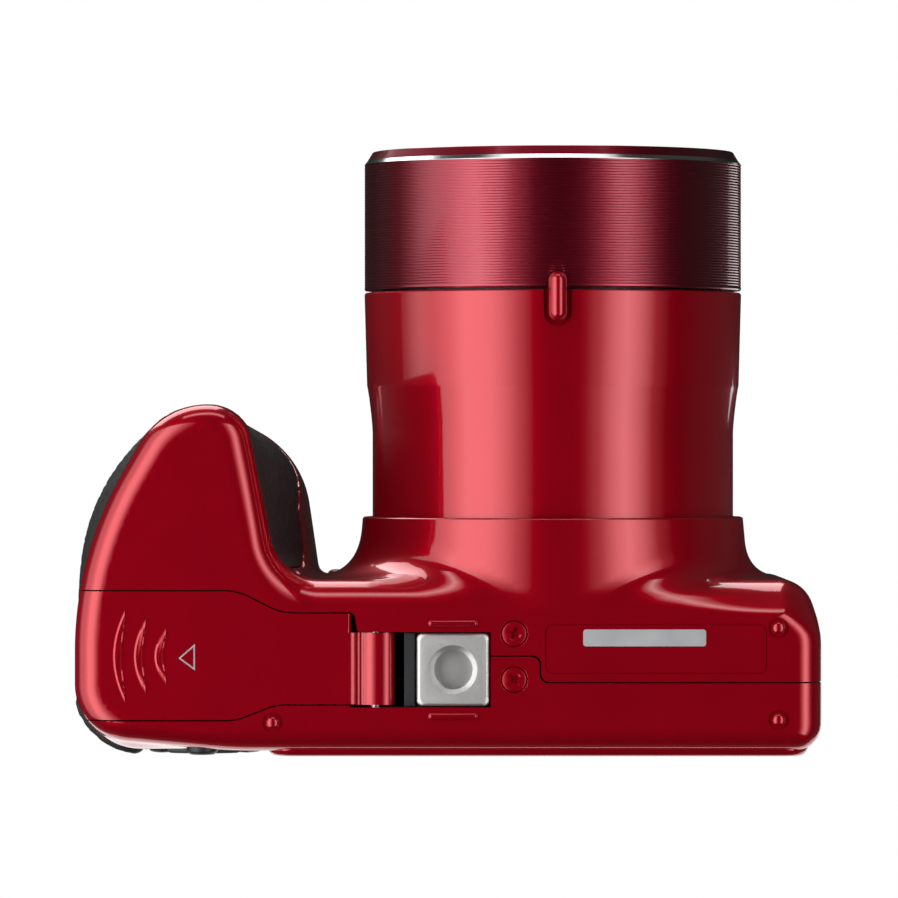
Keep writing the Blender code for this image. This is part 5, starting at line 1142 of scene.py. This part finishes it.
for tool in (SHELL, ROOF, CAVITY, HUMP_CAVITY):
    bpy.data.objects.remove(tool)
dress(front, "red_lacquer", "front_cover")
dress(rear, "red_lacquer", "rear_cover")
dress(top, "red_lacquer", "top_cover")
dress(head, "red_lacquer", "flash_head")
dress(door, "red_lacquer", "battery_door")
dress(grip, "black_rubber", "grip_rubber")
dress(thumb, "black_rubber", "thumb_rest")
dress(barrel, "red_lacquer", "lens_barrel")
dress(ring, "dark_red_anodised", "lens_front_ring")
dress(facet, "steel")
dress(rest, "red_lacquer", "lens_rest")
dress(tube, "black_plastic", "lens_guide_tube")
dress(outer_barrel, "black_plastic", "moving_barrel_outer")
dress(inner_barrel, "black_plastic", "moving_barrel_inner")
dress(trim, "black_plastic", "lens_trim_ring")
dress(glass, "lens_glass", "front_lens")
dress(plate, "blasted_nickel", "tripod_plate")
for name, piece in screws.items():
    dress(piece, "red_lacquer", name)
dress(fittings, "red_lacquer")
dress(label, "grey_plastic")
# The grey of the arrow lines is a painted highlight.
dress(arrow, "grey_plastic", on="battery_door")
for name, piece in buttons.items():
    dress(piece, "black_plastic", name)
dress(lever, "black_plastic", "zoom_lever")
dress(shutter, "red_lacquer", "shutter_button")
dress(window, "screen", "display_window")
for name, piece in lugs.items():
    dress(piece, "steel", name)
dress(flap, "red_lacquer", "terminal_cover")
dress(lamp, "lamp_window", "focus_lamp_window")
dress(flash_pane, "clear_window", "flash_window")

# %% [markdown]
# ## Studio
#
# The photograph looks straight up at the base. Two large soft boxes stand left and right below the
# camera and leave a dark strip between them, which draws the dark line along the lens. A third box hangs
# above for views from the top. The floor shows and takes the shadow from above only, so that the light
# from below passes through it.

# %% Floor, lights and world
bpy.ops.mesh.primitive_plane_add(size=6.0, location=(0.0, 0.0, -0.0002))
floor = bpy.context.object
floor.name = "floor"
paint = bpy.data.materials.new("floor_paint")
paint.use_nodes = True
tree = paint.node_tree
tree.nodes.clear()
facing = node(tree, "NewGeometry").outputs["Backfacing"]
path = node(tree, "LightPath")
pale = node(tree, "BsdfDiffuse", {"Color": tint(tree, spread(tree, noise(tree, 80.0), 0.0, 1.0), (0.84, 0.84, 0.84), (0.86, 0.86, 0.86))})
clear = node(tree, "BsdfTransparent")
seen = node(tree, "Math", {0: path.outputs["Is Camera Ray"], 1: facing}, operation="GREATER_THAN").outputs[0]
hidden = node(tree, "Math", {0: 1.0, 1: seen}, operation="SUBTRACT").outputs[0]
mixed = node(tree, "MixShader", {0: hidden, 1: pale.outputs[0], 2: clear.outputs[0]})
tree.links.new(mixed.outputs[0], node(tree, "OutputMaterial").inputs["Surface"])
floor.data.materials.append(paint)


def soft_box(name, size, spot, aim, power, fall=()):
    """A rectangular soft light that looks at a point, its brightness falling off across its second side."""
    lamp = bpy.data.lights.new(name, "AREA")
    lamp.shape = "RECTANGLE"
    lamp.size, lamp.size_y = size
    lamp.energy = power
    made = bpy.data.objects.new(name, lamp)
    made.location = spot
    made.rotation_euler = (Vector(aim) - Vector(spot)).to_track_quat("-Z", "Y").to_euler()
    made.visible_camera = False
    bpy.context.scene.collection.objects.link(made)
    if fall:
        lamp.use_nodes = True
        tree = lamp.node_tree
        across = node(tree, "SeparateXYZ", {"Vector": node(tree, "NewGeometry").outputs["Parametric"]}).outputs["Y"]
        ramp = node(tree, "ValToRGB", {"Fac": across})
        set_ramp(ramp.color_ramp, fall)
        tree.links.new(ramp.outputs["Color"], tree.nodes["Emission"].inputs["Strength"])
    return made


def set_ramp(ramp, stops):
    """Grey stops of a colour ramp."""
    ramp.elements.remove(ramp.elements[1])
    for i, (spot, value) in enumerate(stops):
        stop = ramp.elements.new(spot) if i else ramp.elements[0]
        stop.position = spot
        stop.color = (value, value, value, 1.0)


def below(angle, distance):
    """A point below the object at an angle from straight down, towards +X."""
    return (distance * math.sin(math.radians(angle)), -0.02, -distance * math.cos(math.radians(angle)))


left_fall = ((0.0, 0.0), (0.02, 0.05), (0.15, 0.32), (0.25, 0.7), (0.34, 0.96), (0.48, 1.0), (0.56, 0.65), (0.66, 0.45),
             (0.77, 0.45), (0.92, 0.14), (1.0, 0.05))
right_fall = ((0.0, 0.0), (0.08, 0.025), (0.24, 0.22), (0.38, 0.7), (0.51, 1.0), (0.65, 0.63), (0.81, 0.1), (1.0, 0.0))
unlit = bpy.data.collections.new("lit_from_above_only")
unlit.objects.link(floor)
unlit.collection_objects[0].light_linking.link_state = "EXCLUDE"
for box in (soft_box("box_left", (1.1, 1.11), below(-60.0, 0.5), (0.0, -0.02, 0.0), 13.0, left_fall),
            soft_box("box_right", (1.1, 0.69), below(47.0, 0.6), (0.0, -0.02, 0.0), 8.2, right_fall)):
    box.light_linking.receiver_collection = unlit
soft_box("box_front", (0.9, 0.6), (-0.25, -0.8, 0.6), (0.0, 0.0, 0.03), 6.0)
soft_box("box_back", (1.4, 1.0), (0.15, 0.6, 0.85), (0.0, 0.0, 0.03), 6.0)
low_fall = ((0.0, 0.0), (0.25, 0.4), (0.5, 1.0), (0.75, 0.4), (1.0, 0.0))
soft_box("box_low", (0.8, 0.3), (0.0, -0.9, -0.17), (0.0, 0.0, 0.03), 3.0, low_fall)

world = bpy.data.worlds.new("studio")
bpy.context.scene.world = world
world.use_nodes = True
tree = world.node_tree
tree.nodes.clear()
path = node(tree, "LightPath")
up = node(tree, "SeparateXYZ", {"Vector": node(tree, "TexCoord").outputs["Generated"]}).outputs["Z"]
glow = node(tree, "ValToRGB", {"Fac": node(tree, "MapRange", {"Value": up, "From Min": -1.0, "From Max": 1.0}).outputs[0]})
set_ramp(glow.color_ramp, ((0.0, 0.015), (0.45, 0.015), (0.6, 0.05), (0.8, 0.05), (0.92, 0.015)))
shown = node(tree, "Math", {0: path.outputs["Is Glossy Ray"], 1: path.outputs["Is Transmission Ray"]}, operation="MAXIMUM").outputs[0]
mirrored = node(tree, "Math", {0: shown, 1: glow.outputs["Color"]}, operation="MULTIPLY").outputs[0]
level = node(tree, "Math", {0: mirrored, 1: path.outputs["Is Camera Ray"]}, operation="MAXIMUM").outputs[0]
level = node(tree, "Math", {0: level, 1: node(tree, "Math", {0: path.outputs["Is Diffuse Ray"], 1: 0.12}, operation="MULTIPLY").outputs[0]},
             operation="MAXIMUM").outputs[0]
sky = node(tree, "Background", {"Color": (1.0, 1.0, 1.0, 1.0), "Strength": level})
tree.links.new(sky.outputs[0], node(tree, "OutputWorld").inputs["Surface"])
print("studio ready")

# %% Camera and view transform
view = bpy.data.cameras.new("camera")
view.sensor_width = 36.0
view.lens = 274.0
view.clip_start = 0.01
view.clip_end = 20.0
camera = bpy.data.objects.new("camera", view)
camera.location = (0.00014, -0.0005, -0.95)
camera.rotation_euler = (math.pi, 0.0, 0.0)
bpy.context.scene.collection.objects.link(camera)
bpy.context.scene.camera = camera
bpy.context.scene.view_settings.view_transform = "Standard"
